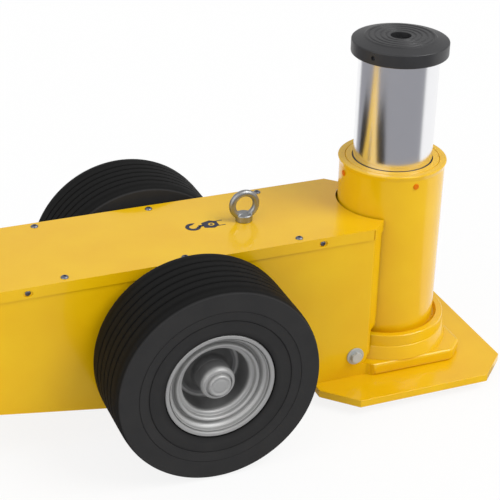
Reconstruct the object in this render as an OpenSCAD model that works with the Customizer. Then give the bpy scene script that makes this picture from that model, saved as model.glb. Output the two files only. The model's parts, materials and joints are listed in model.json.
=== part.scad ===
// Air hydraulic jack on two wheels.
// The origin is on the cylinder's axis at the underside of the base plate.
// +X points from the pump housing to the cylinder, +Z is up.

/* [Base] */
// Length of the base plate along X
plate_len = 427.4; // [410:1:460]
// Width of the base plate along Y
plate_w = 434.6; // [410:1:460]
// Thickness of the base plate
plate_t = 16.75; // [12:0.25:22]
// Leg of the base plate's corner chamfers
plate_chamfer = 65; // [30:1:80]
// Width of the base block
block_w = 280; // [276:1:300]
// Leg of the base block's corner chamfers
block_chamfer = 36; // [20:1:40]
// Height of the base block
block_t = 26.9; // [24:0.5:36]
// Lower diameter of the flared foot collar
flare_d = 282; // [278:0.5:286]
// Height of the flared part of the foot collar
flare_h = 28.35; // [20:0.5:34]
// Diameter of the upper foot collar
collar_d = 264.8; // [255:0.5:268]
// Height of the upper foot collar
collar_h = 26.7; // [15:0.5:32]
// Width of the open groove between the collar and the tube
collar_groove_w = 8; // [4:0.5:11]
// Depth of the open groove between the collar and the tube
collar_groove_depth = 11; // [4:0.5:18]

/* [Cylinder] */
// Outer diameter of the cylinder tube
tube_d = 219.1; // [216:0.1:222]
// Wall of the cylinder tube
tube_wall = 14; // [11:0.5:16]
// Height of the cylinder's top face
tube_top = 456.7; // [440:1:480]
// Diameter of the thick bead at the tube's top
bead_d = 225.7; // [223:0.1:232]
// Height of the bead's tapered side
bead_h = 10; // [6:0.5:16]
// Diameter of the gland nut's threaded head
gland_head_d = 196; // [194:0.5:200]
// Length of the gland nut's threaded head
gland_head_h = 30; // [26:1:36]
// Diameter of the ram
ram_d = 164; // [156:0.5:168]
// Diameter of the ram's hollow
ram_hollow_d = 116; // [80:1:124]
// Height of the piston
piston_h = 60; // [50:1:66]
// Gap under the piston when the ram is down
piston_floor_gap = 8; // [5:0.5:12]
// Full travel of the ram
stroke_len = 270; // [250:1:280]
// How far the ram is raised in this pose
extension = 220; // [150:1:250]

/* [Saddle] */
// Diameter of the saddle
saddle_d = 197.8; // [185:0.5:210]
// Height of the saddle's side wall
saddle_side_h = 28.2; // [24:0.5:36]
// Rise of the saddle's conical top
saddle_cone_h = 8; // [4:0.5:12]
// Diameter of the saddle's flat top
saddle_top_d = 140; // [136:1:150]
// Depth of the pocket that the ram's end sits in
saddle_pocket = 20.2; // [14:0.2:22]
// Diameter of the saddle's centring hole
saddle_hole_d = 41.4; // [30:0.2:44]
// Gap between the saddle and the tube when the ram is down
saddle_closed_gap = 6.1; // [3:0.1:12]
// Radius of the innermost grip groove
groove_r = 30; // [26:0.5:31]
// Distance from one grip groove to the next
groove_pitch = 11.7; // [8:0.1:11.8]
// Number of grip grooves
groove_count = 4; // [2:1:4]
// Width of a grip groove
groove_w = 5; // [2:0.1:6]
// Depth of a grip groove
groove_depth = 1.8; // [0.5:0.1:2.5]

/* [Housing] */
// Half the width over the cover's folded lips
cover_half_w = 128.6; // [127:0.1:131]
// Height of the cover's top face
cover_top = 360.9; // [350:1:380]
// Sheet of the top cover
cover_t = 2.5; // [1.5:0.1:3]
// Depth of the cover's folded lips
lip_h = 23.5; // [20:0.5:30]
// Sheet of the side plates, rear panel and floor pan
sheet_t = 4; // [3:0.25:5]
// X of the side plates' front edges
side_front_x = -93; // [-96:1:-90]
// X of the housing's rear face
rear_x = -930; // [-960:1:-920]
// X where the lower edge starts to rise
rise_x = -568; // [-600:1:-545]
// Rise of the lower edge per length
rise_slope = 0.157; // [0.1:0.005:0.18]
// Radius of the side plates' lower front corner
corner_r = 20; // [8:1:26]
// Gap between the housing's front edges and the tube
tube_gap = 3.8; // [3.6:0.1:6]
// Height up to which the front flanges are cut narrow
flange_low_z = 116; // [104:1:140]
// Leg of the narrow part of the front flanges
flange_low_leg = 9; // [6:0.5:10]
// Width of the side plates' inward top flanges
top_flange_w = 22; // [18:1:26]
// X of the front pair of cover screws
cover_screw_x = -256; // [-262:1:-250]
// Distance between pairs of cover screws
cover_screw_pitch = 240.5; // [230:0.5:250]
// Distance of the cover screws from the middle
cover_screw_y = 112; // [108:0.5:114]
// X of the front side screws
side_screw_x = -210; // [-216:1:-204]
// Distance of the rear side screws from the rear face
rear_screw_in = 118; // [112:1:124]
// Height of the side screws
side_screw_z = 348; // [344:0.5:350]
// Diameter of the cover screws' shanks
screw_d = 6; // [5:0.5:8]
// Diameter of the screws' heads
screw_head_d = 11; // [10:0.5:13]
// X of the chassis bolts
bolt_x = -122.4; // [-125:0.2:-120]
// Height of the chassis bolts
bolt_z = 66.9; // [64:0.5:72]
// Diameter of the chassis bolts
bolt_d = 14; // [12:1:16]
// Diameter of the chassis bolts' washers
washer_d = 38; // [30:1:40]

/* [Lifting eye] */
// X of the lifting eye
eye_x = -330; // [-345:1:-315]
// Outer diameter of the eye's ring
eye_ring_d = 65; // [58:1:70]
// Diameter of the eye's hole
eye_hole_d = 37; // [30:1:40]
// Diameter of the eye's foot
eye_foot_d = 35; // [30:1:38]
// Height of the ring's centre above the cover
eye_ring_rise = 35; // [33:0.5:40]
// Diameter of the eye's thread
eye_thread_d = 16; // [12:1:18]

/* [Wheels] */
// X of the axle
axle_x = -496.2; // [-500:0.2:-490]
// Height of the axle above the base plate's underside
axle_z = 184.9; // [180:0.1:190]
// Travel of the sprung axle
axle_travel = 20; // [10:1:20]
// Distance of a wheel's centre plane from the middle
wheel_y = 232.8; // [228:0.2:240]
// Outer diameter of a tyre
tyre_d = 410; // [404:1:416]
// Width of a tyre
tyre_w = 167; // [160:0.5:170]
// Diameter of the tyre's shoulder line
shoulder_d = 400; // [392:0.5:402]
// Diameter of the rim's flanges
rim_d = 220.6; // [216:0.2:224]
// Width over the rim's flanges
rim_w = 156; // [150:0.5:158]
// Diameter of the opening in the rim's face
bowl_d = 135; // [131:0.5:138]
// Depth of the rim's bowl
bowl_depth = 72.5; // [66:0.5:75]
// Outer diameter of the hub barrel
hub_d = 69; // [64:0.5:72]
// Diameter of the axle between the wheels
axle_d = 30; // [28:0.5:34]
// Diameter of the axle's ends
stub_d = 25; // [20:0.5:26]

/* [Pump] */
// Length of the oil reservoir
tank_len = 260; // [200:1:270]
// Diameter of the air motor
motor_d = 124; // [100:1:130]
// Height of the air motor
motor_h = 92; // [70:1:98]
// Width of the pump block
pump_w = 200; // [190:1:214]
// Length of the pump block
pump_len = 120; // [110:1:135]
// Height of the pump block
pump_h = 100; // [90:1:106]
// Outer diameter of the pressure pipe
pipe_d = 12; // [8:0.5:14]

/* [Controls] */
// Height of the raise lever's pin
lever_z = 305; // [298:1:312]
// Length of the raise lever
lever_len = 62; // [54:1:66]
// Distance from the raise lever's pin to the plunger
plunger_arm = 30; // [24:1:36]
// Diameter of the release knob
knob_d = 44; // [34:1:50]
// Height of the release knob
knob_z = 192; // [184:1:205]

/* [Drawbar] */
// Distance of the drawbar's pivot behind the rear face
pivot_back = 45; // [40:1:60]
// Height of the drawbar's pivot
pivot_z = 138; // [134:1:150]
// Length of the drawbar from its pivot to the cross bar
bar_len = 880; // [700:10:1000]
// Lean of the drawbar on its stop in degrees from upright
bar_lean = 35; // [20:1:50]
// Diameter of the drawbar's tubes
bar_d = 34; // [28:1:38]
// Width of the cross bar
cross_w = 420; // [340:5:480]

/* [Hidden] */
$fn = 96;

// Clearances
fit_gap = 0.06; // running fit on a radius
seat_gap = 0.3; // parts that only lie close
bolt_gap = 0.5; // bolt in its hole, on the radius
flange_gap = 5.2; // front flanges to the tube
piston_stop_gap = 5; // piston to the gland nut at full height
cut = 1; // how far a cutter runs past a face

// Colours
paint = [0.93, 0.74, 0.22];
steel = [0.62, 0.64, 0.66];
zinc = [0.56, 0.6, 0.66];
cast = [0.3, 0.3, 0.32];
rubber = [0.13, 0.13, 0.13];
silver = [0.66, 0.66, 0.67];

// Derived heights and radii
block_top = plate_t + block_t;
flare_top = block_top + flare_h;
collar_top = flare_top + collar_h;
tube_r = tube_d / 2;
bore_r = tube_r - tube_wall;
ram_r = ram_d / 2;
gland_r = gland_head_d / 2;
piston_z = block_top + piston_floor_gap + extension;
saddle_z = tube_top + saddle_closed_gap + extension;
ram_top = saddle_z + saddle_pocket;
saddle_top = saddle_z + saddle_side_h + saddle_cone_h;
gland_h = tube_top - block_top - piston_floor_gap - piston_h - stroke_len - piston_stop_gap;
piston_socket = 18;
plug_z = tube_top - gland_head_h * 0.79;
lock_d = 10;
plug_head_d = 12.5;
seal_depth = 6;
seal_h = 8;
gland_seal_z = tube_top - gland_h + 18;
wiper_lip = 2;
wiper_cover = 2;
seal_at = 16;
seal_groove = 7;
wear_at = 38;
wear_h = 10;
wear_groove = 3.5;
screw_angle = 210.4;
set_screw_r = 4.5;
saddle_screw_z = saddle_z + 14.5;

side_y = cover_half_w - cover_t;
inner_y = side_y - sheet_t;
under_cover = cover_top - cover_t;
flange_z = under_cover - sheet_t;
panel_x = rear_x + cover_t;
panel_in_x = panel_x + sheet_t;
side_screws = [side_screw_x, rear_x + rear_screw_in];
slot_half = 3.5;
plate_front_x = side_front_x - cover_t * tan(22.5);
pan_lift = 3;
pan_top = pan_lift + sheet_t;
block_back = 6;
block_rear_x = block_back - plate_len / 2;
bridge_t = 12;
bridge_len = 60;
lug_len = 40;
lug_w = 20;
lug_h = 48;

tyre_r = tyre_d / 2;
shoulder_r = shoulder_d / 2;
tyre_half = tyre_w / 2;
rim_r = rim_d / 2;
rim_half = rim_w / 2;
bead_seat_r = rim_r - 9;
well_r = bead_seat_r - 15;
rim_t = 4;
bowl_r = bowl_d / 2;
hub_r = hub_d / 2;
stub_r = stub_d / 2;
bearing_r = 26;
bearing_w = 15;
hub_front = rim_half - 8;
hub_back = -rim_half + 30;
bearing_seat = [hub_back + 2, 30];
shoulder_y = wheel_y + bearing_seat[0];
cap_r = bearing_r - 3;
cap_grip = 12;
nut_w = 14;

guide_w = 40;
slide_half = 25;
guide_wall = 12;
spring_len = 62;
spring_top = axle_z + slide_half + axle_travel + spring_len;
spring_wire = 5;
spring_r = 17;
spring_turns = 6;

axle_to_tank = 56.2;
tank_x = axle_x + axle_to_tank;
tank_y = [-118, 30];
tank_top = under_cover - 46;
tank_t = 4;
filler_x = tank_x + tank_len - 50;
filler_r = 12;
pump_gap = 23.5;
pump_x = panel_in_x + pump_gap;
pump_z = 134;
port_x = -65;
port_y = 60;
port_z = 30;
port_r = 5;
elbow_w = 24;
suction_y = -40;
suction_z = 148;

valve_y = 88;
valve_w = 44;
valve_len = pump_gap - 2.5;
valve_low = 196;
valve_high = 330;
lever_gap = 16;
lever_pin_r = 4;
lever_t = 3;
lever_hub_r = 8;
ear_w = 6;
lever_x = rear_x - lever_gap;
valve_face = rear_x - 4;
plunger_r = 5;
spindle_y = -75;
spindle_r = 8;
knob_len = 26;
knob_socket = 14;
knob_x = panel_x - 20 - knob_len;
spindle_bore = 44;
nipple_z = 212;
nipple_r = 6;

pivot = [rear_x - pivot_back, 0, pivot_z];
pin_r = 10;
boss_r = 20;
boss_w = 43;
ear_t = 8;
stop_r = 8;
bar_r = bar_d / 2;
bar_wall = 3;
grip_t = 4;
grip_len = 110;

// Turns a profile in XZ into a sheet across Y, centred on the middle
module across(width) {
    translate([0, width / 2, 0])
        rotate([90, 0, 0])
            linear_extrude(width) children();
}

// A cylinder along X from x to x + len
module rod_x(x, len, r, y = 0, z = 0) {
    translate([x, y, z]) rotate([0, 90, 0]) cylinder(h = len, r = r);
}

// A cylinder along Y from y to y + len
module rod_y(y, len, r, x = 0, z = 0) {
    translate([x, y, z]) rotate([-90, 0, 0]) cylinder(h = len, r = r);
}

// A copy on each side of the middle
module both_sides() {
    children();
    mirror([0, 1, 0]) children();
}

// Square of width w whose corners are cut by a chamfer of leg c
module cut_square(len, w, c) {
    polygon([
        [len / 2 - c, w / 2], [len / 2, w / 2 - c], [len / 2, c - w / 2], [len / 2 - c, -w / 2],
        [c - len / 2, -w / 2], [-len / 2, c - w / 2], [-len / 2, w / 2 - c], [c - len / 2, w / 2]]);
}

// Ring of a rectangular section, and its profile
module ring(r_in, r_out, z, h) {
    translate([0, 0, z]) difference() {
        cylinder(h = h, r = r_out);
        translate([0, 0, -cut]) cylinder(h = h + 2 * cut, r = r_in);
    }
}

// How far a 45 degree front edge runs before it meets a circle of radius r
function edge_run(half_w, r) =
    (half_w - plate_front_x - sqrt(2 * r * r - pow(half_w + plate_front_x, 2))) / 2;

// Height of the housing's lower edge, and of a line that lies t above it
function low_edge(x, t = 0) = block_top + t + max(0, rise_x - x) * rise_slope;

// Points of an arc in a plane
function arc(c, r, from, to, steps) =
    [for (i = [0 : steps]) let (a = from + (to - from) * i / steps) c + r * [cos(a), sin(a)]];

// One closed tube of radius r along a list of points whose sections are frames [centre, u, v]
module sweep(frames, r, sides) {
    rings = len(frames);
    points = [for (f = frames, k = [0 : sides - 1]) let (a = 360 * k / sides)
        f[0] + r * (cos(a) * f[1] + sin(a) * f[2])];
    walls = [for (i = [0 : rings - 2], k = [0 : sides - 1])
        let (a = i * sides + k, b = i * sides + (k + 1) % sides)
        each [[a, b, b + sides], [a, b + sides, a + sides]]];
    ends = [[for (k = [sides - 1 : -1 : 0]) k], [for (k = [0 : sides - 1]) (rings - 1) * sides + k]];
    polyhedron(points = points, faces = concat(walls, ends));
}

module base_plate() {
    color(paint) linear_extrude(plate_t) cut_square(plate_len, plate_w, plate_chamfer);
}

// Block whose rear part is as wide as the housing. The oil passage runs in from the rear face
module base_block() {
    half = block_w / 2;
    c = block_chamfer;
    step = half - side_y;
    color(paint) difference() {
        translate([0, 0, plate_t]) linear_extrude(block_t) polygon([
            [half - c, half], [half, half - c], [half, c - half], [half - c, -half],
            [plate_front_x + step, -half], [plate_front_x, -side_y], [block_rear_x, -side_y],
            [block_rear_x, side_y], [plate_front_x, side_y], [plate_front_x + step, half]]);
        rod_x(block_rear_x - cut, port_x - block_rear_x + port_r + cut, port_r, port_y, port_z);
        translate([port_x, port_y, port_z]) cylinder(h = block_top - port_z + cut, r = port_r);
    }
}

module foot_collar() {
    r = collar_d / 2;
    line = 1.2;
    edge = 2;
    color(paint) rotate_extrude() polygon([
        [tube_r + fit_gap, block_top], [flare_d / 2, block_top], [r, flare_top - line],
        [r - line, flare_top], [r, flare_top + line], [r, collar_top - edge], [r - edge, collar_top],
        [tube_r + collar_groove_w, collar_top],
        [tube_r + collar_groove_w - edge, collar_top - collar_groove_depth],
        [tube_r + fit_gap, collar_top - collar_groove_depth]]);
}

// Tube with the top bead, the counterbore for the gland nut and the holes for its locking screws
module cylinder_tube() {
    edge = 1.5;
    color(paint) difference() {
        rotate_extrude() polygon([
            [bore_r, block_top], [tube_r, block_top], [tube_r, tube_top - bead_h - edge],
            [bead_d / 2, tube_top - edge], [bead_d / 2 - edge, tube_top], [gland_r, tube_top],
            [gland_r, tube_top - gland_head_h], [bore_r, tube_top - gland_head_h]]);
        for (a = [0 : 90 : 270]) rotate([0, 0, a]) rod_x(bore_r, tube_r, lock_d / 2 + fit_gap, 0, plug_z);
    }
}

module gland_nut() {
    lip = 1.5;
    seal_z = gland_seal_z;
    wiper_z = tube_top - wiper_cover;
    r = gland_r - fit_gap;
    in = ram_r + fit_gap;
    color(paint) difference() {
        rotate_extrude() polygon([
            [in, tube_top - gland_h], [bore_r - fit_gap, tube_top - gland_h],
            [bore_r - fit_gap, tube_top - gland_head_h], [r, tube_top - gland_head_h],
            [r, tube_top - lip], [r - lip, tube_top], [ram_r + wiper_lip, tube_top],
            [ram_r + wiper_lip, wiper_z], [in + seal_depth, wiper_z],
            [in + seal_depth, wiper_z - seal_depth], [in, wiper_z - seal_depth],
            [in, seal_z + seal_h], [in + seal_depth, seal_z + seal_h],
            [in + seal_depth, seal_z], [in, seal_z]]);
        for (a = [0 : 90 : 270]) rotate([0, 0, a])
            rod_x(gland_r - seal_depth, tube_r, lock_d / 2 + fit_gap, 0, plug_z);
    }
}

module rod_seal() {
    color(rubber) ring(ram_r + fit_gap, ram_r + seal_depth, gland_seal_z, seal_h);
}

module wiper_ring() {
    in = ram_r + fit_gap;
    out = ram_r + wiper_lip - fit_gap;
    z = tube_top - wiper_cover;
    color(rubber) rotate_extrude() polygon([
        [in, z - seal_depth], [ram_r + seal_depth, z - seal_depth],
        [ram_r + seal_depth, z], [out, z], [out, tube_top - wiper_lip / 2],
        [in + wiper_lip / 4, tube_top + wiper_lip / 4], [in, tube_top + wiper_lip / 4]]);
}

module gland_lock_screws() {
    in = gland_r - seal_depth + seat_gap;
    color(steel) for (a = [0 : 90 : 270]) rotate([0, 0, a])
        rod_x(in, tube_r - tube_wall / 2 - in, lock_d / 2, 0, plug_z);
}

// Plastic plugs that close the holes over the locking screws
module lock_screw_plugs() {
    dome = 1.6;
    color([0.9, 0.42, 0.12]) for (a = [0 : 90 : 270]) rotate([0, 0, a])
        translate([tube_r, 0, plug_z]) rotate([0, 90, 0]) rotate_extrude() polygon([
            [0, -tube_wall / 2 + seat_gap], [lock_d / 2, -tube_wall / 2 + seat_gap],
            [lock_d / 2, seat_gap], [plug_head_d / 2, seat_gap], [plug_head_d / 2, dome],
            [plug_head_d / 2 - dome, 2 * dome], [0, 2 * dome]]);
}

// Side plate on the right: web, bent front flange, top flange, holes and the axle's slot
module side_plate() {
    run = edge_run(side_y, tube_r + flange_gap);
    back = sheet_t * tan(22.5);
    inset = sheet_t / sqrt(2);
    slot_r = axle_d / 2 + 2;
    difference() {
        union() {
            translate([0, -inner_y, 0]) rotate([90, 0, 0]) linear_extrude(sheet_t) difference() {
                polygon([
                    [plate_front_x, block_top], [plate_front_x, under_cover], [panel_x, under_cover],
                    [panel_x, low_edge(panel_x)], [rise_x, block_top]]);
                translate([plate_front_x - corner_r, block_top]) difference() {
                    translate([0, -cut]) square([corner_r + cut, corner_r + cut]);
                    translate([0, corner_r]) circle(r = corner_r);
                }
            }
            // Front flange, full width above and cut narrow beside the foot collar
            translate([0, 0, flange_low_z]) linear_extrude(under_cover - flange_low_z)
                front_flange(run, back, inset);
            translate([0, 0, block_top + corner_r]) linear_extrude(flange_low_z - block_top - corner_r)
                front_flange(flange_low_leg, back, inset);
            // Top flange under the cover
            translate([panel_x, -inner_y, flange_z])
                cube([plate_front_x - back - panel_x, top_flange_w, sheet_t]);
        }
        axle_slot(slot_r);
        rod_y(-side_y - cut, sheet_t + 2 * cut, bolt_d / 2 + bolt_gap, bolt_x, bolt_z);
        for (x = side_screws)
            rod_y(-side_y - cut, sheet_t + 2 * cut, screw_d / 2 + fit_gap, x, side_screw_z);
        for (i = [0 : 2])
            translate([cover_screw_x - i * cover_screw_pitch, -cover_screw_y, flange_z - cut])
                cylinder(h = sheet_t + 2 * cut, r = screw_d / 2 + fit_gap);
    }
}

// Plan of the 45 degree front flange of a given leg
module front_flange(leg, back, inset) {
    polygon([
        [plate_front_x, -side_y], [plate_front_x + leg, -side_y + leg],
        [plate_front_x + leg - inset, -side_y + leg + inset], [plate_front_x - back, -inner_y]]);
}

// Upright slot that the axle travels in
module axle_slot(r) {
    rod_y(-side_y - cut, sheet_t + 2 * cut, r, axle_x, axle_z);
    rod_y(-side_y - cut, sheet_t + 2 * cut, r, axle_x, axle_z + axle_travel);
    translate([axle_x - r, -side_y - cut, axle_z]) cube([2 * r, sheet_t + 2 * cut, axle_travel]);
}

module side_plate_right() {
    color(paint) side_plate();
}

module side_plate_left() {
    color(paint) mirror([0, 1, 0]) side_plate();
}

// Plan of the cover, drawn in from its outline by inset
module cover_plan(inset) {
    back = inset * tan(22.5);
    w = cover_half_w - inset;
    run = 60;
    x = side_front_x - back;
    difference() {
        polygon([
            [rear_x + inset, -w], [x, -w], [x + run, run - w],
            [x + run, w - run], [x, w], [rear_x + inset, w]]);
        circle(r = tube_r + tube_gap);
    }
}

module top_cover() {
    notch_w = 2;
    color(paint) difference() {
        union() {
            translate([0, 0, under_cover]) linear_extrude(cover_t) cover_plan(0);
            translate([0, 0, cover_top - lip_h]) linear_extrude(lip_h - cover_t) difference() {
                cover_plan(0);
                cover_plan(cover_t);
            }
        }
        both_sides() for (i = [0 : 2])
            translate([cover_screw_x - i * cover_screw_pitch, cover_screw_y, under_cover - cut])
                cylinder(h = cover_t + 2 * cut, r = screw_d / 2 + fit_gap);
        both_sides() for (x = side_screws) {
            r = screw_head_d / 2 + bolt_gap;
            for (s = [-1, 1])
                rod_y(side_y - cut, cover_t + 2 * cut, r, x + s * slot_half, side_screw_z);
            translate([x - slot_half, side_y - cut, side_screw_z - r])
                cube([2 * slot_half, cover_t + 2 * cut, 2 * r]);
        }
        both_sides() translate([side_front_x - 2 * notch_w, side_y - cut, cover_top - lip_h - cut])
            cube([notch_w, cover_t + 2 * cut, lip_h - cover_t + cut]);
        translate([eye_x, 0, under_cover - cut])
            cylinder(h = cover_t + 2 * cut, r = eye_thread_d / 2 + bolt_gap);
    }
}

module rear_panel() {
    color(paint) difference() {
        translate([panel_x, -inner_y, low_edge(panel_x)])
            cube([sheet_t, 2 * inner_y, flange_z - low_edge(panel_x)]);
        translate([panel_x - cut, valve_y - valve_w / 2 - bolt_gap, valve_low - bolt_gap])
            cube([sheet_t + 2 * cut, valve_w + 2 * bolt_gap, valve_high - valve_low + 2 * bolt_gap]);
        rod_x(panel_x - cut, sheet_t + 2 * cut, spindle_r + bolt_gap, spindle_y, knob_z);
    }
}

// One bent sheet that follows the side plates' lower edges
module floor_pan() {
    front = block_rear_x - elbow_w - 10;
    color(paint) across(2 * inner_y) polygon([
        [front, low_edge(front, pan_lift)], [rise_x, low_edge(rise_x, pan_lift)],
        [panel_in_x, low_edge(panel_in_x, pan_lift)], [panel_in_x, low_edge(panel_in_x, pan_top)],
        [rise_x, low_edge(rise_x, pan_top)], [front, low_edge(front, pan_top)]]);
}

module chassis_lugs() {
    color(paint) both_sides() difference() {
        translate([bolt_x - lug_len / 2, -inner_y, block_top]) cube([lug_len, lug_w, lug_h]);
        rod_y(-inner_y - cut, lug_w + 2 * cut, bolt_d / 2 + fit_gap, bolt_x, bolt_z);
    }
}

// Hexagon bolt and washer on each side
module chassis_bolts() {
    washer_t = 3;
    head_h = 9;
    head_r = bolt_d * 0.88;
    length = sheet_t + lug_w + washer_t;
    color(zinc) both_sides() {
        difference() {
            rod_y(-side_y - washer_t, washer_t, washer_d / 2, bolt_x, bolt_z);
            rod_y(-side_y - washer_t - cut, washer_t + 2 * cut, bolt_d / 2 + fit_gap, bolt_x, bolt_z);
        }
        rod_y(-side_y - washer_t, length, bolt_d / 2, bolt_x, bolt_z);
        translate([bolt_x, -side_y - washer_t, bolt_z]) rotate([90, 0, 0])
            cylinder(h = head_h, r = head_r, $fn = 6);
    }
}

// Six button-head screws in the top and four pan-head screws in the lips
module cover_screws() {
    length = 16;
    pan_h = 2.2;
    button_h = 3.5;
    button_r = screw_head_d / 2 + 1;
    socket_d = 4;
    color(zinc) {
        both_sides() for (i = [0 : 2])
            translate([cover_screw_x - i * cover_screw_pitch, cover_screw_y, 0]) difference() {
                union() {
                    translate([0, 0, cover_top - length]) cylinder(h = length, r = screw_d / 2);
                    translate([0, 0, cover_top])
                        cylinder(h = button_h, r1 = button_r, r2 = button_r - button_h / 2);
                }
                translate([0, 0, cover_top + button_h / 2])
                    cylinder(h = button_h, r = socket_d / 2, $fn = 6);
            }
        both_sides() for (x = side_screws) difference() {
            union() {
                rod_y(side_y - length + pan_h, length - pan_h, screw_d / 2, x, side_screw_z);
                rod_y(side_y, pan_h, screw_head_d / 2, x, side_screw_z);
            }
            translate([x, side_y + pan_h / 2, side_screw_z]) rotate([-90, 0, 0])
                cylinder(h = pan_h, r = socket_d / 2, $fn = 6);
        }
    }
}

// Cross bar under the cover that carries the lifting eye
module lifting_bridge() {
    boss = 24;
    color(paint) difference() {
        union() {
            translate([eye_x - bridge_len / 2, -inner_y, flange_z - bridge_t])
                cube([bridge_len, 2 * inner_y, bridge_t]);
            translate([eye_x, 0, flange_z - bridge_t])
                cylinder(h = under_cover - flange_z + bridge_t, r = boss);
        }
        translate([eye_x, 0, flange_z - bridge_t - cut])
            cylinder(h = bridge_t + sheet_t + 2 * cut, r = eye_thread_d / 2 + fit_gap);
    }
}

module lifting_eye() {
    ring_r = (eye_ring_d + eye_hole_d) / 4;
    wire_r = (eye_ring_d - eye_hole_d) / 4;
    foot_h = 9;
    neck_h = eye_ring_rise - ring_r + wire_r + 2.5;
    nut_h = 13;
    shank = bridge_t + sheet_t + cover_t + nut_h + 2;
    color(zinc) {
        translate([eye_x, 0, cover_top + eye_ring_rise]) rotate([90, 0, 0])
            rotate_extrude() translate([ring_r, 0]) circle(r = wire_r);
        translate([eye_x, 0, cover_top]) {
            cylinder(h = foot_h, r = eye_foot_d / 2);
            translate([0, 0, foot_h]) cylinder(h = neck_h - foot_h, r1 = wire_r + 2, r2 = wire_r - 1);
            translate([0, 0, -shank]) cylinder(h = shank, r = eye_thread_d / 2);
        }
    }
}

module eye_nut() {
    nut_h = 13;
    color(zinc) translate([eye_x, 0, flange_z - bridge_t - nut_h]) difference() {
        cylinder(h = nut_h, r = eye_thread_d * 0.87, $fn = 6);
        translate([0, 0, -cut]) cylinder(h = nut_h + 2 * cut, r = eye_thread_d / 2 + fit_gap);
    }
}

// Upright frames inside the side plates, which the axle's blocks slide in
module axle_guides() {
    low = axle_z - slide_half;
    color(steel) both_sides() difference() {
        translate([axle_x - slide_half - guide_wall, -inner_y, low - guide_wall])
            cube([2 * (slide_half + guide_wall), guide_w, spring_top - low + 2 * guide_wall]);
        translate([axle_x - slide_half - fit_gap, -inner_y - cut, low - fit_gap])
            cube([2 * (slide_half + fit_gap), guide_w + 2 * cut, spring_top - low + fit_gap]);
    }
}

// Coil springs that hold the axle down
module axle_springs() {
    steps = 12;
    low = axle_z + slide_half + seat_gap + spring_wire / 2;
    high = spring_top - seat_gap - spring_wire / 2;
    total = spring_turns * steps;
    color(cast) both_sides() translate([axle_x, -inner_y + guide_w / 2, 0])
        sweep([for (i = [0 : total]) let (a = 360 * i / steps, z = low + (high - low) * i / total)
            [[spring_r * cos(a), spring_r * sin(a), z], [cos(a), sin(a), 0], [0, 0, 1]]],
            spring_wire / 2, 6);
}

module reservoir() {
    low = low_edge(tank_x, pan_top);
    size = [tank_len, tank_y[1] - tank_y[0], tank_top - low];
    color(cast) difference() {
        translate([tank_x, tank_y[0], low]) cube(size);
        translate([tank_x + tank_t, tank_y[0] + tank_t, low + tank_t])
            cube(size - [2 * tank_t, 2 * tank_t, 2 * tank_t]);
        rod_x(tank_x - cut, tank_t + 2 * cut, pipe_d / 2 + fit_gap, suction_y, suction_z);
        translate([filler_x, suction_y, tank_top - tank_t - cut])
            cylinder(h = tank_t + 2 * cut, r = filler_r + fit_gap);
    }
}

// Screwed filler plug with a breather
module filler_plug() {
    head_h = 14;
    color(zinc) translate([filler_x, suction_y, tank_top]) {
        cylinder(h = head_h, r = filler_r * 1.5, $fn = 6);
        translate([0, 0, -2 * tank_t]) cylinder(h = 2 * tank_t, r = filler_r);
    }
}

module suction_pipe() {
    front = pump_x + pump_len;
    bore = 2;
    color(steel) difference() {
        rod_x(front, tank_x + tank_t - front, pipe_d / 2, suction_y, suction_z);
        rod_x(front - cut, tank_x + tank_t - front + 2 * cut, pipe_d / 2 - bore, suction_y, suction_z);
    }
}

// Pipe from the pump block, under the axle and down to the base block's port
module pressure_pipe() {
    front = pump_x + pump_len;
    end_x = block_rear_x - elbow_w / 2;
    low = 76;
    bend = 24;
    high = pump_z + 20;
    slope = 45;
    start = [axle_x - 63.8, high];
    run = high - low;
    foot = [start[0] + run, low];
    path = concat(
        [[front, high]],
        arc(start + [-bend * tan(slope / 2), -bend], bend, 90, 90 - slope, 4),
        arc(foot + [bend * tan(slope / 2), bend], bend, -90 - slope, -90, 4),
        arc([end_x - bend, low - bend], bend, 90, 0, 6),
        [[end_x, port_z + elbow_w / 2]]);
    last = len(path) - 1;
    color(steel) sweep([for (i = [0 : last])
        let (a = path[max(0, i - 1)], b = path[min(last, i + 1)], d = (b - a) / norm(b - a))
        [[path[i][0], port_y, path[i][1]], [0, 1, 0], [-d[1], 0, d[0]]]], pipe_d / 2, 12);
}

// Elbow fitting screwed into the base block's rear face
module port_elbow() {
    spigot = 12;
    color(zinc) {
        translate([block_rear_x - elbow_w, port_y - elbow_w / 2, port_z - elbow_w / 2]) cube(elbow_w);
        rod_x(block_rear_x, spigot, port_r - fit_gap, port_y, port_z);
    }
}

module pump_block() {
    edge = 8;
    color(cast) difference() {
        translate([pump_x + pump_len / 2, 0, pump_z])
            linear_extrude(pump_h) cut_square(pump_len, pump_w, edge);
        rod_x(pump_x - cut, spindle_bore + cut, spindle_r + fit_gap, spindle_y, knob_z);
    }
}

// Two rails between the sloping floor pan and the pump block
module pump_rails() {
    x1 = pump_x + 4;
    x2 = pump_x + pump_len - 4;
    rail_w = 12;
    rail_y = pump_w / 2 - 30;
    color(cast) for (y = [-rail_y, rail_y]) translate([0, y, 0]) across(rail_w) polygon([
        [x1, low_edge(x1, pan_top)], [x2, low_edge(x2, pan_top)], [x2, pump_z], [x1, pump_z]]);
}

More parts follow.
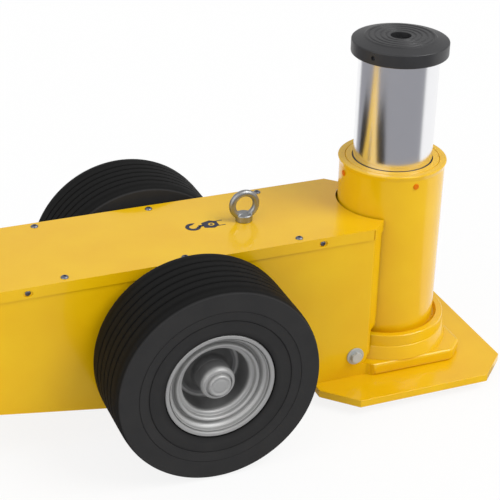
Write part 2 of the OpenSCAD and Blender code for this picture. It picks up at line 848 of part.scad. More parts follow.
// Ribbed air cylinder on the pump block
module air_motor() {
    r = motor_d / 2;
    z = pump_z + pump_h;
    fin_pitch = 12;
    fin_h = 5;
    cap_h = 14;
    wall = 8;
    color(silver) translate([pump_x + pump_len / 2, 0, z]) difference() {
        union() {
            cylinder(h = motor_h, r = r - fin_h);
            cylinder(h = cap_h, r = r);
            translate([0, 0, motor_h - cap_h]) cylinder(h = cap_h, r = r);
            for (h = [cap_h + fin_pitch / 2 : fin_pitch : motor_h - cap_h - fin_pitch / 2])
                translate([0, 0, h]) cylinder(h = fin_pitch / 3, r = r);
        }
        translate([0, 0, cap_h]) cylinder(h = motor_h - 2 * cap_h, r = r - fin_h - wall);
    }
}

// Air line from the valve's front face round to the motor's head
module air_pipe() {
    r = 5;
    x = pump_x + pump_len / 2;
    z = pump_z + pump_h + motor_h - 7;
    start = panel_in_x + valve_len;
    color(steel) {
        rod_x(start, x - start, r, valve_y, z);
        translate([x, valve_y, z]) sphere(r = r);
        rod_y(motor_d / 2, valve_y - motor_d / 2, r, x, z);
    }
}

// Valve body that shows through the rear panel, with two ears for the lever's pin
module air_valve() {
    ear_h = 24;
    half = valve_w / 2;
    plunger_bore = 30;
    inlet_bore = 16;
    color(silver) difference() {
        union() {
            translate([valve_face, valve_y - half, valve_low])
                cube([panel_in_x + valve_len - valve_face, valve_w, valve_high - valve_low]);
            for (s = [-half, half - ear_w])
                translate([lever_x - lever_hub_r, valve_y + s, lever_z - ear_h / 2])
                    cube([valve_face - lever_x + lever_hub_r, ear_w, ear_h]);
        }
        rod_y(valve_y - half - cut, valve_w + 2 * cut, lever_pin_r + fit_gap / 2, lever_x, lever_z);
        rod_x(valve_face - cut, plunger_bore, plunger_r + fit_gap, valve_y, lever_z - plunger_arm);
        rod_x(valve_face - cut, inlet_bore, nipple_r + fit_gap / 2, valve_y, nipple_z);
    }
}

// Male coupling plug, screwed into the valve
module inlet_nipple() {
    in = 12;
    hex_w = 10;
    stem = 22;
    neck = 4;
    color([0.75, 0.62, 0.3]) translate([valve_face, valve_y, nipple_z]) rotate([0, -90, 0]) {
        cylinder(h = hex_w, r = nipple_r + 4, $fn = 6);
        translate([0, 0, -in]) cylinder(h = in + hex_w + stem, r = nipple_r);
        translate([0, 0, hex_w + stem]) cylinder(h = neck, r = nipple_r - 2);
        translate([0, 0, hex_w + stem + neck]) cylinder(h = neck, r = nipple_r - 1);
    }
}

// Ears for the drawbar's pin and its stop bar
module hitch_bracket() {
    gap = boss_w / 2 + 0.5;
    back = pivot[0] - 54;
    low = pivot_z - 30;
    high = pivot_z + 34;
    corner = 16;
    base_t = 8;
    foot = 20;
    stop = pivot_point(boss_r + 14, bar_r + stop_r + seat_gap);
    color(paint) difference() {
        union() {
            both_sides() translate([0, -gap, 0]) rotate([90, 0, 0]) linear_extrude(ear_t) polygon([
                [panel_x, low], [back + corner, low], [back, low + corner], [back, high - corner],
                [back + corner, high], [panel_x, high]]);
            translate([panel_x - base_t, -gap - ear_t - foot, low])
                cube([base_t, 2 * (gap + ear_t + foot), high - low]);
            rod_y(-gap - ear_t / 2, 2 * gap + ear_t, stop_r, stop[0], stop[1]);
        }
        rod_y(-gap - ear_t - cut, 2 * (gap + ear_t + cut), pin_r + fit_gap / 2, pivot[0], pivot_z);
    }
}

// X and Z of a point along the leaning drawbar, off to its lower side
function pivot_point(along, off) = [
    pivot[0] - along * sin(bar_lean) - off * cos(bar_lean),
    pivot_z + along * cos(bar_lean) - off * sin(bar_lean)];

module hitch_pin() {
    half = boss_w / 2 + 0.5 + ear_t;
    head = 4;
    color(zinc) {
        rod_y(-half - head, 2 * (half + head), pin_r, pivot[0], pivot_z);
        for (y = [-half - head, half]) rod_y(y, head, pin_r + head, pivot[0], pivot_z);
    }
}

module lever_pin() {
    color(zinc) rod_y(valve_y - valve_w / 2, valve_w, lever_pin_r, lever_x, lever_z);
}

// Hollow ram whose crown has a hole under the saddle's
module ram() {
    crown = 60;
    edge = 2;
    low = piston_z + piston_h - piston_socket;
    color([0.82, 0.83, 0.85]) rotate_extrude() polygon([
        [ram_hollow_d / 2, low], [ram_r, low], [ram_r, ram_top - edge], [ram_r - edge, ram_top],
        [18, ram_top], [18, ram_top - crown / 2], [0, ram_top - crown / 2], [0, ram_top - crown],
        [ram_hollow_d / 2, ram_top - crown]]);
}

// Piston with grooves for its seal and its wear ring, and a socket for the ram
module piston() {
    r = bore_r - fit_gap;
    seal_in = r - seal_groove;
    wear_in = r - wear_groove;
    top = piston_z + piston_h;
    edge = 2;
    color(steel) rotate_extrude() polygon([
        [0, piston_z], [r - edge, piston_z], [r, piston_z + edge],
        [r, piston_z + seal_at], [seal_in, piston_z + seal_at], [seal_in, piston_z + seal_at + seal_h],
        [r, piston_z + seal_at + seal_h], [r, piston_z + wear_at], [wear_in, piston_z + wear_at],
        [wear_in, piston_z + wear_at + wear_h], [r, piston_z + wear_at + wear_h], [r, top],
        [ram_r + fit_gap, top], [ram_r + fit_gap, top - piston_socket], [0, top - piston_socket]]);
}

module piston_seal() {
    color(rubber) ring(bore_r - seal_groove, bore_r - fit_gap, piston_z + seal_at, seal_h);
}

module wear_ring() {
    color([0.35, 0.25, 0.18]) ring(bore_r - wear_groove, bore_r - fit_gap, piston_z + wear_at, wear_h);
}

module saddle() {
    r = saddle_d / 2;
    edge = 1.5;
    hole_r = saddle_hole_d / 2;
    side_top = saddle_z + saddle_side_h;
    color(cast) difference() {
        rotate_extrude() polygon([
            [ram_r + fit_gap, saddle_z], [r - edge, saddle_z], [r, saddle_z + edge], [r, side_top - edge],
            [r - edge, side_top], [saddle_top_d / 2 + edge, saddle_top - edge / 2],
            [saddle_top_d / 2 - edge, saddle_top], [hole_r + edge, saddle_top],
            [hole_r, saddle_top - edge], [hole_r, ram_top], [ram_r + fit_gap, ram_top]]);
        for (i = [0 : groove_count - 1]) {
            mid = groove_r + i * groove_pitch;
            ring(mid - groove_w / 2, mid + groove_w / 2, saddle_top - groove_depth, groove_depth + cut);
        }
        rotate([0, 0, screw_angle]) rod_x(ram_r - 4, r - ram_r + 8, set_screw_r, 0, saddle_screw_z);
    }
}

// Set screw that holds the saddle on the ram
module saddle_screw() {
    color(steel) rotate([0, 0, screw_angle])
        rod_x(ram_r + fit_gap, 9, set_screw_r - fit_gap, 0, saddle_screw_z);
}

module axle() {
    half = wheel_y + bearing_seat[1] + bearing_w + nut_w + 6;
    color(steel) {
        rod_y(-shoulder_y, 2 * shoulder_y, axle_d / 2, axle_x, axle_z);
        rod_y(-half, 2 * half, stub_r, axle_x, axle_z);
    }
}

module axle_blocks() {
    y = inner_y - 2;
    depth = guide_w - 2;
    color([0.7, 0.55, 0.3]) both_sides() difference() {
        translate([axle_x - slide_half, -y, axle_z - slide_half])
            cube([2 * slide_half, depth, 2 * slide_half]);
        rod_y(-y - cut, depth + 2 * cut, axle_d / 2 + fit_gap / 2, axle_x, axle_z);
    }
}

// Nuts on the axle's ends, outside the outer bearings
module axle_nuts() {
    y = wheel_y + bearing_seat[1] + bearing_w;
    color(zinc) both_sides() difference() {
        translate([axle_x, -y, axle_z]) rotate([90, 0, 0]) cylinder(h = nut_w, r = stub_r * 1.6, $fn = 6);
        rod_y(-y - nut_w - cut, nut_w + 2 * cut, stub_r + fit_gap / 2, axle_x, axle_z);
    }
}

// Turns a wheel profile about the axle, with its outer face on the right side
module wheel_spin() {
    translate([axle_x, -wheel_y, axle_z]) rotate([90, 0, 0]) rotate_extrude() children();
}

// Tyre: square shoulders, a tread with five narrow grooves, ringed sidewalls and a hollow inside
module tyre() {
    tread_half = tyre_half - 13;
    rib_pitch = 20.75;
    rib_gap = 3.4;
    rib_depth = 3;
    line = 1.2;
    carcass = 12;
    seat = bead_seat_r + fit_gap;
    bead_in = rim_half - 24;
    bead_out = rim_half - 5.5;
    side_r = [rim_r + 2, 143.4, 162.2];
    side_a = [rim_half + 1, tyre_half - 2.2, tyre_half + 0.4];
    tread = [for (i = [-2 : 2], k = [0 : 3])
        [tyre_r - (k == 1 || k == 2 ? rib_depth : 0), i * rib_pitch + (k < 2 ? -rib_gap : rib_gap) / 2]];
    side = [
        [tyre_r - 1, tread_half], [shoulder_r, tyre_half - 1], [shoulder_r - 2, tyre_half],
        [side_r[2] + line, side_a[2]], [side_r[2], side_a[2] - line],
        [side_r[2] - line, side_a[2]], [side_r[1] + line, side_a[1]],
        [side_r[1], side_a[1] - line], [side_r[1] - line, side_a[1] - line / 2],
        [side_r[0] + 6, side_a[0] + 2], [side_r[0], side_a[0]],
        [rim_r + 0.6, bead_out], [seat, bead_out - 4], [seat, bead_in],
        [seat + carcass, bead_in - 2], [rim_r + 18, tyre_half - carcass - 6],
        [(rim_r + tyre_r) / 2, tyre_half - carcass], [shoulder_r - 16, tyre_half - carcass - 4],
        [tyre_r - 17, tread_half - 16]];
    flip = [for (i = [len(side) - 1 : -1 : 0]) [side[i][0], -side[i][1]]];
    color(rubber) wheel_spin() polygon(concat(tread, side, flip));
}

// Rim: drop-centre barrel, stepped face, deep bowl with a ringed floor and the hub barrel
module rim() {
    r = rim_r;
    b = bowl_r;
    a = rim_half;
    s = bead_seat_r;
    w = well_r;
    t = rim_t;
    h = hub_r;
    f = rim_half - bowl_depth;
    color(silver) wheel_spin() {
        polygon([
            // Outside, from the outer flange to the inner one
            [r - 1, a], [r, a - 1], [r, a - t], [s + 2, a - 5], [s, a - 9], [s, a - 30], [w, a - 40],
            [w, 40 - a], [s, 30 - a], [s, 9 - a], [s + 2, 5 - a], [r, t - a], [r, -a],
            // Inside of the barrel
            [s - t + 2, 2 - a], [s - t, 8 - a], [s - t, 28 - a], [w - t, 38 - a], [w - t, a - 38],
            [s - t, a - 28], [s - t, a - 19],
            // Back of the face and of the bowl
            [b + 24, a - 20], [b + 9, a - 20], [b + 8, a - 30], [b + 4.5, a - 35], [b + 3, f + 2],
            [b - 3, f - t - 1], [b - 14, f - 8], [b - 22, f - 3], [h + 4, f + 5], [h - 2, f + 5],
            // Hub's collar and the bowl's floor and wall
            [h - 2, f + 30], [h + 1, f + 28.5], [h + 2.8, f + 11.5], [b - 21.5, f + 2.5],
            [b - 14, f - 2.5], [b - 8.7, f], [b - 3, f], [b - 1.5, f + 3], [b, a - 31],
            // Face, from the bowl's lip out to the flange
            [b + 1.2, a - 28], [b + 4, a - 26], [b + 8, a - 25.5], [b + 9.3, a - 24.5],
            [b + 10.2, a - 16], [b + 12, a - 14], [b + 15, a - 14], [b + 17.5, a - 16],
            [b + 18.5, a - 19.5], [b + 20.5, a - 21], [b + 23, a - 20], [r - 17, a - 15],
            [r - 13.6, a - 12], [r - 12.4, a - 7.5], [r - 11.4, a - 4.6], [r - 10.6, a - 6.6],
            [r - 9.3, a - 6.6], [r - 8.7, a - 1.8], [r - 6.5, a]]);
        hub_profile();
    }
}

// Section of the hub barrel with a bearing seat at each end
module hub_profile() {
    neck = bearing_r - 5;
    seat1 = bearing_seat[0] + bearing_w;
    seat2 = bearing_seat[1];
    polygon([
        [bearing_r + fit_gap, hub_front], [hub_r - 6, hub_front], [hub_r - 3.2, hub_front - 2.4],
        [hub_r - 1.2, hub_front - 6], [hub_r, hub_front - 12], [hub_r, hub_back],
        [bearing_r + fit_gap, hub_back],
        [bearing_r + fit_gap, seat1], [neck, seat1], [neck, seat2], [bearing_r + fit_gap, seat2]]);
}

// Inner and outer ball bearings of one wheel, drawn as shielded rings
module bearings() {
    shield = 1.5;
    land = 4;
    r1 = stub_r + fit_gap;
    r2 = bearing_r;
    color(steel) for (a = bearing_seat) wheel_spin() polygon([
        [r1, a], [r1 + land, a], [r1 + land, a + shield], [r2 - land, a + shield], [r2 - land, a], [r2, a],
        [r2, a + bearing_w], [r2 - land, a + bearing_w], [r2 - land, a + bearing_w - shield],
        [r1 + land, a + bearing_w - shield], [r1 + land, a + bearing_w], [r1, a + bearing_w]]);
}

// Domed cap pressed into the hub barrel's mouth
module hub_cap() {
    top = hub_front + 7;
    grip = hub_front - cap_grip;
    wall = 2;
    in = bearing_r;
    color(silver) wheel_spin() polygon([
        [0, top - wall], [0, top - 0.6], [cap_r - 8, top - 0.6], [cap_r - 7, top - 1.4],
        [cap_r - 6, top - 1.4], [cap_r - 4.6, top], [cap_r - 3, top], [cap_r - 0.8, top - 1.6],
        [cap_r, top - 4],
        [cap_r, hub_front - 2], [in, hub_front - 3], [in, grip], [in - wall, grip],
        [in - wall, hub_front - 5], [cap_r - wall, hub_front - 4], [cap_r - wall, top - 4.4],
        [cap_r - 4, top - wall - 1], [cap_r - 8, top - wall - 1]]);
}

// The same piece on the left
module on_left() {
    mirror([0, 1, 0]) children();
}

// Tube with a bearing boss, a cross bar and end plugs, leaning on its stop
module drawbar() {
    color(paint) translate(pivot) rotate([0, -bar_lean, 0]) difference() {
        union() {
            rod_y(-boss_w / 2, boss_w, boss_r);
            cylinder(h = bar_len, r = bar_r);
            rod_y(-cross_w / 2, cross_w, bar_r - 3, 0, bar_len);
        }
        rod_y(-boss_w / 2 - cut, boss_w + 2 * cut, pin_r + fit_gap);
        translate([0, 0, boss_r + 5]) cylinder(h = bar_len - 2 * boss_r - 10, r = bar_r - bar_wall);
    }
}

module handle_grips() {
    in = bar_r - 3 + fit_gap;
    rib = 1.5;
    rib_pitch = 11;
    rib_len = 5;
    collar = 3;
    end = 4;
    color(rubber) translate(pivot) rotate([0, -bar_lean, 0]) translate([0, 0, bar_len]) both_sides()
        translate([0, cross_w / 2 + end, 0]) rotate([90, 0, 0]) rotate_extrude() polygon(concat(
            [[0, 0], [in + grip_t - 2, 0], [in + grip_t, 2]],
            [for (i = [0 : 7], k = [0 : 3]) [in + grip_t - (k == 1 || k == 2 ? rib : 0),
                (i + 1) * rib_pitch + (k < 2 ? 0 : rib_len)]],
            [[in + grip_t + collar, grip_len - 2 * collar], [in + grip_t + collar, grip_len],
             [in, grip_len], [in, end], [0, end]]));
}

// Bent sheet lever that hangs from its pin in front of the plunger
module raise_lever() {
    w = valve_w - 2 * ear_w - 2 * bolt_gap;
    out = -lever_hub_r;
    kick = 8;
    color([0.15, 0.15, 0.16]) translate([lever_x, valve_y, lever_z]) difference() {
        union() {
            rod_y(-w / 2, w, lever_hub_r);
            across(w) polygon([
                [out, 0], [out, kick - lever_len], [out - kick, -lever_len],
                [out - kick + lever_t, -lever_len],
                [out + lever_t, kick - lever_len], [out + lever_t, 0]]);
        }
        rod_y(-w / 2 - cut, w + 2 * cut, lever_pin_r + fit_gap);
    }
}

// Push button of the air valve, with a round tip that the lever slides on
module valve_plunger() {
    inside = 10;
    start = lever_x - lever_hub_r + lever_t + seat_gap + plunger_r;
    color(steel) {
        rod_x(start, rear_x + inside - start, plunger_r, valve_y, lever_z - plunger_arm);
        translate([start, valve_y, lever_z - plunger_arm]) sphere(r = plunger_r);
    }
}

module release_spindle() {
    start = knob_x + knob_len - knob_socket;
    color(steel) rod_x(start, pump_x + spindle_bore - 6 - start, spindle_r, spindle_y, knob_z);
}

// Lobed knob on the release spindle's end
module release_knob() {
    lobes = 6;
    scallop_r = 7;
    r = knob_d / 2;
    color([0.15, 0.15, 0.16]) difference() {
        translate([knob_x, spindle_y, knob_z]) rotate([0, 90, 0]) linear_extrude(knob_len) difference() {
            circle(r = r);
            for (i = [0 : lobes - 1]) rotate(360 * i / lobes)
                translate([r + scallop_r / 2, 0]) circle(r = scallop_r);
        }
        rod_x(knob_x + knob_len - knob_socket, knob_socket + cut, spindle_r + fit_gap / 2,
            spindle_y, knob_z);
    }
}

base_plate();
base_block();
foot_collar();
cylinder_tube();
gland_nut();
rod_seal();
wiper_ring();
gland_lock_screws();
lock_screw_plugs();
side_plate_right();
side_plate_left();
top_cover();
rear_panel();
floor_pan();
chassis_lugs();
chassis_bolts();
cover_screws();
lifting_bridge();
lifting_eye();
eye_nut();
axle_guides();
axle_springs();
reservoir();
filler_plug();
suction_pipe();
pressure_pipe();
port_elbow();
pump_block();
pump_rails();
air_motor();
air_pipe();
air_valve();
inlet_nipple();
hitch_bracket();
hitch_pin();
lever_pin();
ram();
piston();
piston_seal();
wear_ring();
saddle();
saddle_screw();
axle();
axle_blocks();
axle_nuts();
tyre();  // tyre_right
rim();  // rim_right
bearings();  // bearings_right
hub_cap();  // hub_cap_right
on_left() tyre();  // tyre_left
on_left() rim();  // rim_left
on_left() bearings();  // bearings_left
on_left() hub_cap();  // hub_cap_left
drawbar();
handle_grips();
raise_lever();
valve_plunger();
release_spindle();
release_knob();
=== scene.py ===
import math

import bpy
from mathutils import Matrix, Vector
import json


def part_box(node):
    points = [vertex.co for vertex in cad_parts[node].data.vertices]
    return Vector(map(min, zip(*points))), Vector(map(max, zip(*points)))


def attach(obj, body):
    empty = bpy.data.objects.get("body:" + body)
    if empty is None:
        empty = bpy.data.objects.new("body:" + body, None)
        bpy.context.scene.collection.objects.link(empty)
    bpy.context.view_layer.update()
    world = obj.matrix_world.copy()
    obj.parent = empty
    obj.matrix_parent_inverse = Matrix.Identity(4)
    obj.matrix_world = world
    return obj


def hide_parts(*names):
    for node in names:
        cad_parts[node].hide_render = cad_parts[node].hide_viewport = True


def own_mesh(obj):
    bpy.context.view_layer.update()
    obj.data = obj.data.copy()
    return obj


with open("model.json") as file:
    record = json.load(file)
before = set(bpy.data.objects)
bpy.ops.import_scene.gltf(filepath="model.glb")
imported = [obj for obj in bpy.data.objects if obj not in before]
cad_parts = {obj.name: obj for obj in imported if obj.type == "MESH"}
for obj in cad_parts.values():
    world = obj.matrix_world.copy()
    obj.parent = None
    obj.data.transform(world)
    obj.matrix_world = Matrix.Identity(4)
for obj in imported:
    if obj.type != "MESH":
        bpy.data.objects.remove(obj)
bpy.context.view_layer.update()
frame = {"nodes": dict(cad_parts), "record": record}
nodes = frame["nodes"]
print("frame loaded:", len(nodes), "nodes")

# Camera, from the lines of the photographed jack
cameraSettings = {
    "place": (-1.35128, -2.49216, 1.70784),
    "forward": (0.33523, 0.82229, -0.45989),
    "roll": 1.25,  # degrees
    "pictureSize": 500,
    "focalPixels": 1481.07,
    "axisPixel": (240.98, 240.89),
    "clipEnd": 60,
}


def makeCamera(settings):
    forward = Vector(settings["forward"]).normalized()
    flatRight = forward.cross(Vector((0, 0, 1))).normalized()
    flatUp = flatRight.cross(forward)
    roll = math.radians(settings["roll"])
    right = flatRight * math.cos(roll) + flatUp * math.sin(roll)
    up = flatUp * math.cos(roll) - flatRight * math.sin(roll)
    bpy.ops.object.camera_add(location=settings["place"])
    camera = bpy.context.object
    camera.name = "camera"
    axes = Matrix((right, up, -forward)).transposed().to_4x4()
    camera.matrix_world = Matrix.Translation(settings["place"]) @ axes
    size = settings["pictureSize"]
    camera.data.lens = settings["focalPixels"] * camera.data.sensor_width / size
    camera.data.shift_x = (size / 2 - settings["axisPixel"][0]) / size
    camera.data.shift_y = (settings["axisPixel"][1] - size / 2) / size
    camera.data.clip_end = settings["clipEnd"]
    bpy.context.scene.camera = camera


makeCamera(cameraSettings)
print("camera placed")


# Shader maths: a wire is one node's output, and sums with wires add maths nodes
class Wire:
    def __init__(self, finish, socket):
        self.finish = finish
        self.socket = socket

    def maths(self, operation, other=0):
        return self.finish.add("ShaderNodeMath", {"operation": operation}, {0: self, 1: other})

    def __add__(self, other):
        return self.maths("ADD", other)

    def __sub__(self, other):
        return self.maths("SUBTRACT", other)

    def __rsub__(self, other):
        return self.finish.add("ShaderNodeMath", {"operation": "SUBTRACT"}, {0: other, 1: self})

    def __mul__(self, other):
        return self.maths("MULTIPLY", other)

    def __pow__(self, other):
        return self.maths("POWER", other)


class Finish:
    def __init__(self, name, **constants):
        self.material = bpy.data.materials.new(name)
        self.material.use_nodes = True
        self.tree = self.material.node_tree
        self.shader = self.tree.nodes["Principled BSDF"]
        for socket, value in constants.items():
            self.shader.inputs[socket.replace("_", " ")].default_value = value

    def add(self, kind, settings=None, sockets=None, out=0):
        node = self.tree.nodes.new(kind)
        for key, value in (settings or {}).items():
            setattr(node, key, value)
        for key, value in (sockets or {}).items():
            self.plug(node.inputs[key], value)
        return Wire(self, node.outputs[out])

    def plug(self, socket, value):
        if isinstance(value, Wire):
            self.tree.links.new(value.socket, socket)
        elif isinstance(value, tuple) and len(value) == 3 and socket.type == "RGBA":
            socket.default_value = (*value, 1)
        else:
            socket.default_value = value

    def set(self, socket, value):
        self.plug(self.shader.inputs[socket], value)

    def place(self):
        return self.add("ShaderNodeTexCoord", out="Object")

    def split(self, where):
        parts = self.tree.nodes.new("ShaderNodeSeparateXYZ")
        self.plug(parts.inputs[0], where)
        return [Wire(self, socket) for socket in parts.outputs]

    def noise(self, scale, detail=2):
        return self.add("ShaderNodeTexNoise", {}, {"Vector": self.place(), "Scale": scale, "Detail": detail})

    def ramp(self, value, *stops):
        shaded = self.add("ShaderNodeValToRGB", {}, {"Fac": value})
        elements = shaded.socket.node.color_ramp.elements
        while len(elements) < len(stops):
            elements.new(0.5)
        for element, (position, shade) in zip(elements, stops):
            element.position = position
            element.color = (shade, shade, shade, 1)
        return shaded

    def mix(self, factor, first, second):
        return self.add("ShaderNodeMix", {"data_type": "RGBA"}, {0: factor, 6: first, 7: second}, out=2)

    def bump(self, height, distance, strength=1):
        return self.add("ShaderNodeBump", {}, {"Height": height, "Distance": distance, "Strength": strength})

    def roughen(self, rough, spread, scale):
        self.set("Roughness", self.noise(scale, 3) * spread + (rough - spread / 2))


def fromScreen(red, green, blue):
    channels = []
    for value in (red, green, blue):
        share = value / 255
        channels.append(share / 12.92 if share <= 0.04045 else ((share + 0.055) / 1.055) ** 2.4)
    return tuple(channels)


finishes = {}

# Glossy yellow paint
paintLook = {
    "colour": fromScreen(237, 190, 8), "deep": fromScreen(233, 182, 4), "rough": 0.22, "shine": 0.35,
    "coat": 0.4, "coatRough": 0.04, "cloudScale": 9, "peelScale": 900, "peelDepth": 0.00004,
}


def makePaint(look):
    finish = Finish("yellow_paint", Specular_IOR_Level=look["shine"], Coat_Weight=look["coat"],
                    Coat_Roughness=look["coatRough"])
    cloud = finish.ramp(finish.noise(look["cloudScale"], 3), (0.35, 0.0), (0.7, 1.0))
    finish.set("Base Color", finish.mix(cloud, look["deep"], look["colour"]))
    finish.set("Normal", finish.bump(finish.noise(look["peelScale"]), look["peelDepth"]))
    finish.roughen(look["rough"], 0.1, 60)
    return finish


finishes["yellow_paint"] = makePaint(paintLook)

# Plain metals and plain coloured surfaces, the last three for single screws, washers and print
metalLooks = {
    "bare_steel": {"colour": fromScreen(170, 172, 176), "rough": 0.34},
    "zinc_steel": {"colour": fromScreen(168, 169, 170), "rough": 0.4},
    "chrome": {"colour": fromScreen(247, 247, 249), "rough": 0.21, "spread": 0.03, "fade": 0.97},
    "cast_aluminium": {"colour": fromScreen(186, 187, 190), "rough": 0.45},
    "brass": {"colour": fromScreen(208, 176, 96), "rough": 0.3},
    "bronze": {"colour": fromScreen(176, 132, 70), "rough": 0.4},
    "spring_steel": {"colour": fromScreen(90, 90, 94), "rough": 0.4},
    "screw_steel": {"colour": fromScreen(134, 138, 150), "rough": 0.35},
}
solidLooks = {
    "dark_iron": {"colour": fromScreen(50, 50, 52), "rough": 0.4},
    "tank_paint": {"colour": fromScreen(64, 66, 70), "rough": 0.4},
    "black_rubber": {"colour": fromScreen(36, 36, 38), "rough": 0.6},
    "black_plastic": {"colour": fromScreen(34, 34, 36), "rough": 0.4},
    "orange_plastic": {"colour": fromScreen(236, 124, 0), "rough": 0.5, "shine": 0.1},
    "bronze_plastic": {"colour": fromScreen(120, 84, 56), "rough": 0.5},
    "washer_zinc": {"colour": fromScreen(196, 199, 196), "rough": 0.4},
    "sign_ink": {"colour": fromScreen(38, 40, 66), "rough": 0.45},
}


def makeMetal(name, colour, rough, spread=0.12, grain=400, fade=0.8):
    finish = Finish(name, Metallic=1.0)
    faded = tuple(channel * fade for channel in colour)
    finish.set("Base Color", finish.mix(finish.noise(grain / 12, 4), colour, faded))
    finish.set("Normal", finish.bump(finish.noise(grain * 3, 3), 0.00003))
    finish.roughen(rough, spread, grain)
    return finish


def makeSolid(name, colour, rough, spread=0.15, grain=600, fade=0.7, shine=0.5):
    finish = Finish(name, Specular_IOR_Level=shine)
    faded = tuple(channel * fade for channel in colour)
    finish.set("Base Color", finish.mix(finish.noise(grain / 20, 4), colour, faded))
    finish.set("Normal", finish.bump(finish.noise(grain, 3), 0.00005))
    finish.roughen(rough, spread, grain / 3)
    return finish


for name, look in metalLooks.items():
    finishes[name] = makeMetal(name, **look)
for name, look in solidLooks.items():
    finishes[name] = makeSolid(name, **look)

# Middle of the left wheel, in metres, for the finishes that run around the axle
wheelMiddle = {"x": -0.4962, "y": 0.2328, "z": 0.1849}


def aroundAxle(finish, wheel):
    along, aside, upward = finish.split(finish.place())
    fromAxle = ((along - wheel["x"]) ** 2 + (upward - wheel["z"]) ** 2) ** 0.5
    outward = aside.maths("ABSOLUTE") - wheel["y"]
    return fromAxle, outward


# Tyre rubber: painted shade makes the tread darker than the flat sidewalls and darker still towards its
# grooves; the sidewalls carry patches of dust
tyreLook = {
    "rib": fromScreen(24, 24, 24), "groove": fromScreen(15, 15, 15), "pitch": 0.02075,
    "side": fromScreen(44, 44, 45), "dust": fromScreen(60, 59, 58), "flank": (0.079, 0.0815), "rough": 0.68,
    "shine": 0.1, "ringTurns": 2600, "ringDepth": 0.35, "bumpDepth": 0.00012, "bumpShare": 0.7,
}


def makeTyreRubber(look, wheel):
    finish = Finish("tyre", Specular_IOR_Level=look["shine"])
    fromAxle, outward = aroundAxle(finish, wheel)
    # painted shade: the tread is painted darker than the sidewalls, and darker still towards the grooves
    grooveShading = (outward * (2 * math.pi / look["pitch"])).maths("COSINE") * 0.5 + 0.5
    tread = finish.mix(grooveShading, look["rib"], look["groove"])
    flank = finish.ramp(outward.maths("ABSOLUTE"), (look["flank"][0], 0.0), (look["flank"][1], 1.0))
    base = finish.mix(flank, tread, look["side"])
    finish.set("Base Color", finish.mix(finish.noise(22, 4) * 0.5 * flank, base, look["dust"]))
    rings = (fromAxle * look["ringTurns"]).maths("SINE") * flank
    height = rings * look["ringDepth"] + finish.noise(1400)
    finish.set("Normal", finish.bump(height, look["bumpDepth"], look["bumpShare"]))
    finish.roughen(look["rough"], 0.14, 90)
    return finish


finishes["tyre"] = makeTyreRubber(tyreLook, wheelMiddle)

# Silver wheel paint, with painted shade in the bowl and in the rings of the face and a painted highlight on a
# ring of the bowl's floor: the rings and that lit ring are given at five times their radius in metres
rimLook = {
    # the two darkest colours are painted shade, in the face's rings and deep in the bowl; the lightest is a
    # painted highlight on a ring of the bowl's floor
    "colour": fromScreen(186, 186, 185), "shade": fromScreen(180, 180, 179), "ringShade": fromScreen(60, 60, 60),
    "deep": fromScreen(136, 136, 136), "ledgeHighlight": fromScreen(196, 196, 195),
    "metal": 0.6, "shine": 0.3, "rough": 0.54, "bowlRadius": 0.0685, "barrelRadius": 0.037,
    "mouth": (0.045, 0.0495), "neck": (0.058, 0.0605), "ringScale": 5,
    "ledgeStops": ((0.288, 0.0), (0.296, 1.0), (0.31, 1.0), (0.318, 0.0)),
    "rings": (
        (0.375, 1.0), (0.383, 0.8), (0.391, 1.0), (0.415, 1.0), (0.428, 0.65), (0.448, 0.65), (0.462, 1.0),
        (0.484, 1.0), (0.487, 0.75), (0.491, 1.0), (0.495, 1.0), (0.499, 0.5), (0.504, 0.5), (0.508, 1.0)),
}


def makeRimPaint(look, wheel):
    finish = Finish("rim_silver", Metallic=look["metal"], Specular_IOR_Level=look["shine"])
    fromAxle, outward = aroundAxle(finish, wheel)
    inBowl = fromAxle.maths("LESS_THAN", look["bowlRadius"])
    onBarrel = fromAxle.maths("LESS_THAN", look["barrelRadius"])
    # painted shade: the colour darkens deeper in the bowl and along the hub's barrel
    wall = finish.ramp(outward, (look["mouth"][0], 1.0), (look["mouth"][1], 0.0)) * (1 - onBarrel)
    neck = finish.ramp(outward, (look["neck"][0], 1.0), (look["neck"][1], 0.0)) * onBarrel
    ringPlace = fromAxle * look["ringScale"]
    base = finish.mix(finish.noise(35, 4), look["shade"], look["colour"])
    # painted shade in the rings of the wheel's face
    grooves = finish.ramp(ringPlace, *look["rings"])
    base = finish.mix((1 - grooves) * (1 - inBowl), base, look["ringShade"])
    # painted highlight on a ring of the bowl's floor, within the painted shade of the bowl
    bowl = finish.mix(finish.ramp(ringPlace, *look["ledgeStops"]), look["deep"], look["ledgeHighlight"])
    finish.set("Base Color", finish.mix((wall + neck) * inBowl, base, bowl))
    finish.roughen(look["rough"], 0.06, 60)
    return finish


finishes["rim_silver"] = makeRimPaint(rimLook, wheelMiddle)

for part in frame["record"]["subparts"]:
    material = finishes[part["material_slot"]].material
    materials = nodes[part["node"]].data.materials
    if not materials:
        materials.append(material)
    for index in range(len(materials)):
        materials[index] = material
print("finishes made")


# Modelling helpers, sizes in millimetres
def startPiece(*chosen):
    if bpy.context.object and bpy.context.object.mode != "OBJECT":
        bpy.ops.object.mode_set(mode="OBJECT")
    bpy.ops.object.select_all(action="DESELECT")
    for piece in chosen:
        piece.select_set(True)
    if chosen:
        bpy.context.view_layer.objects.active = chosen[0]


def openPiece(piece):
    startPiece(piece)
    bpy.ops.object.mode_set(mode="EDIT")
    bpy.ops.mesh.select_all(action="SELECT")


def closePiece(gap=0.00001):
    bpy.ops.mesh.select_all(action="SELECT")
    bpy.ops.mesh.remove_doubles(threshold=gap)
    bpy.ops.mesh.normals_make_consistent(inside=False)
    bpy.ops.object.mode_set(mode="OBJECT")


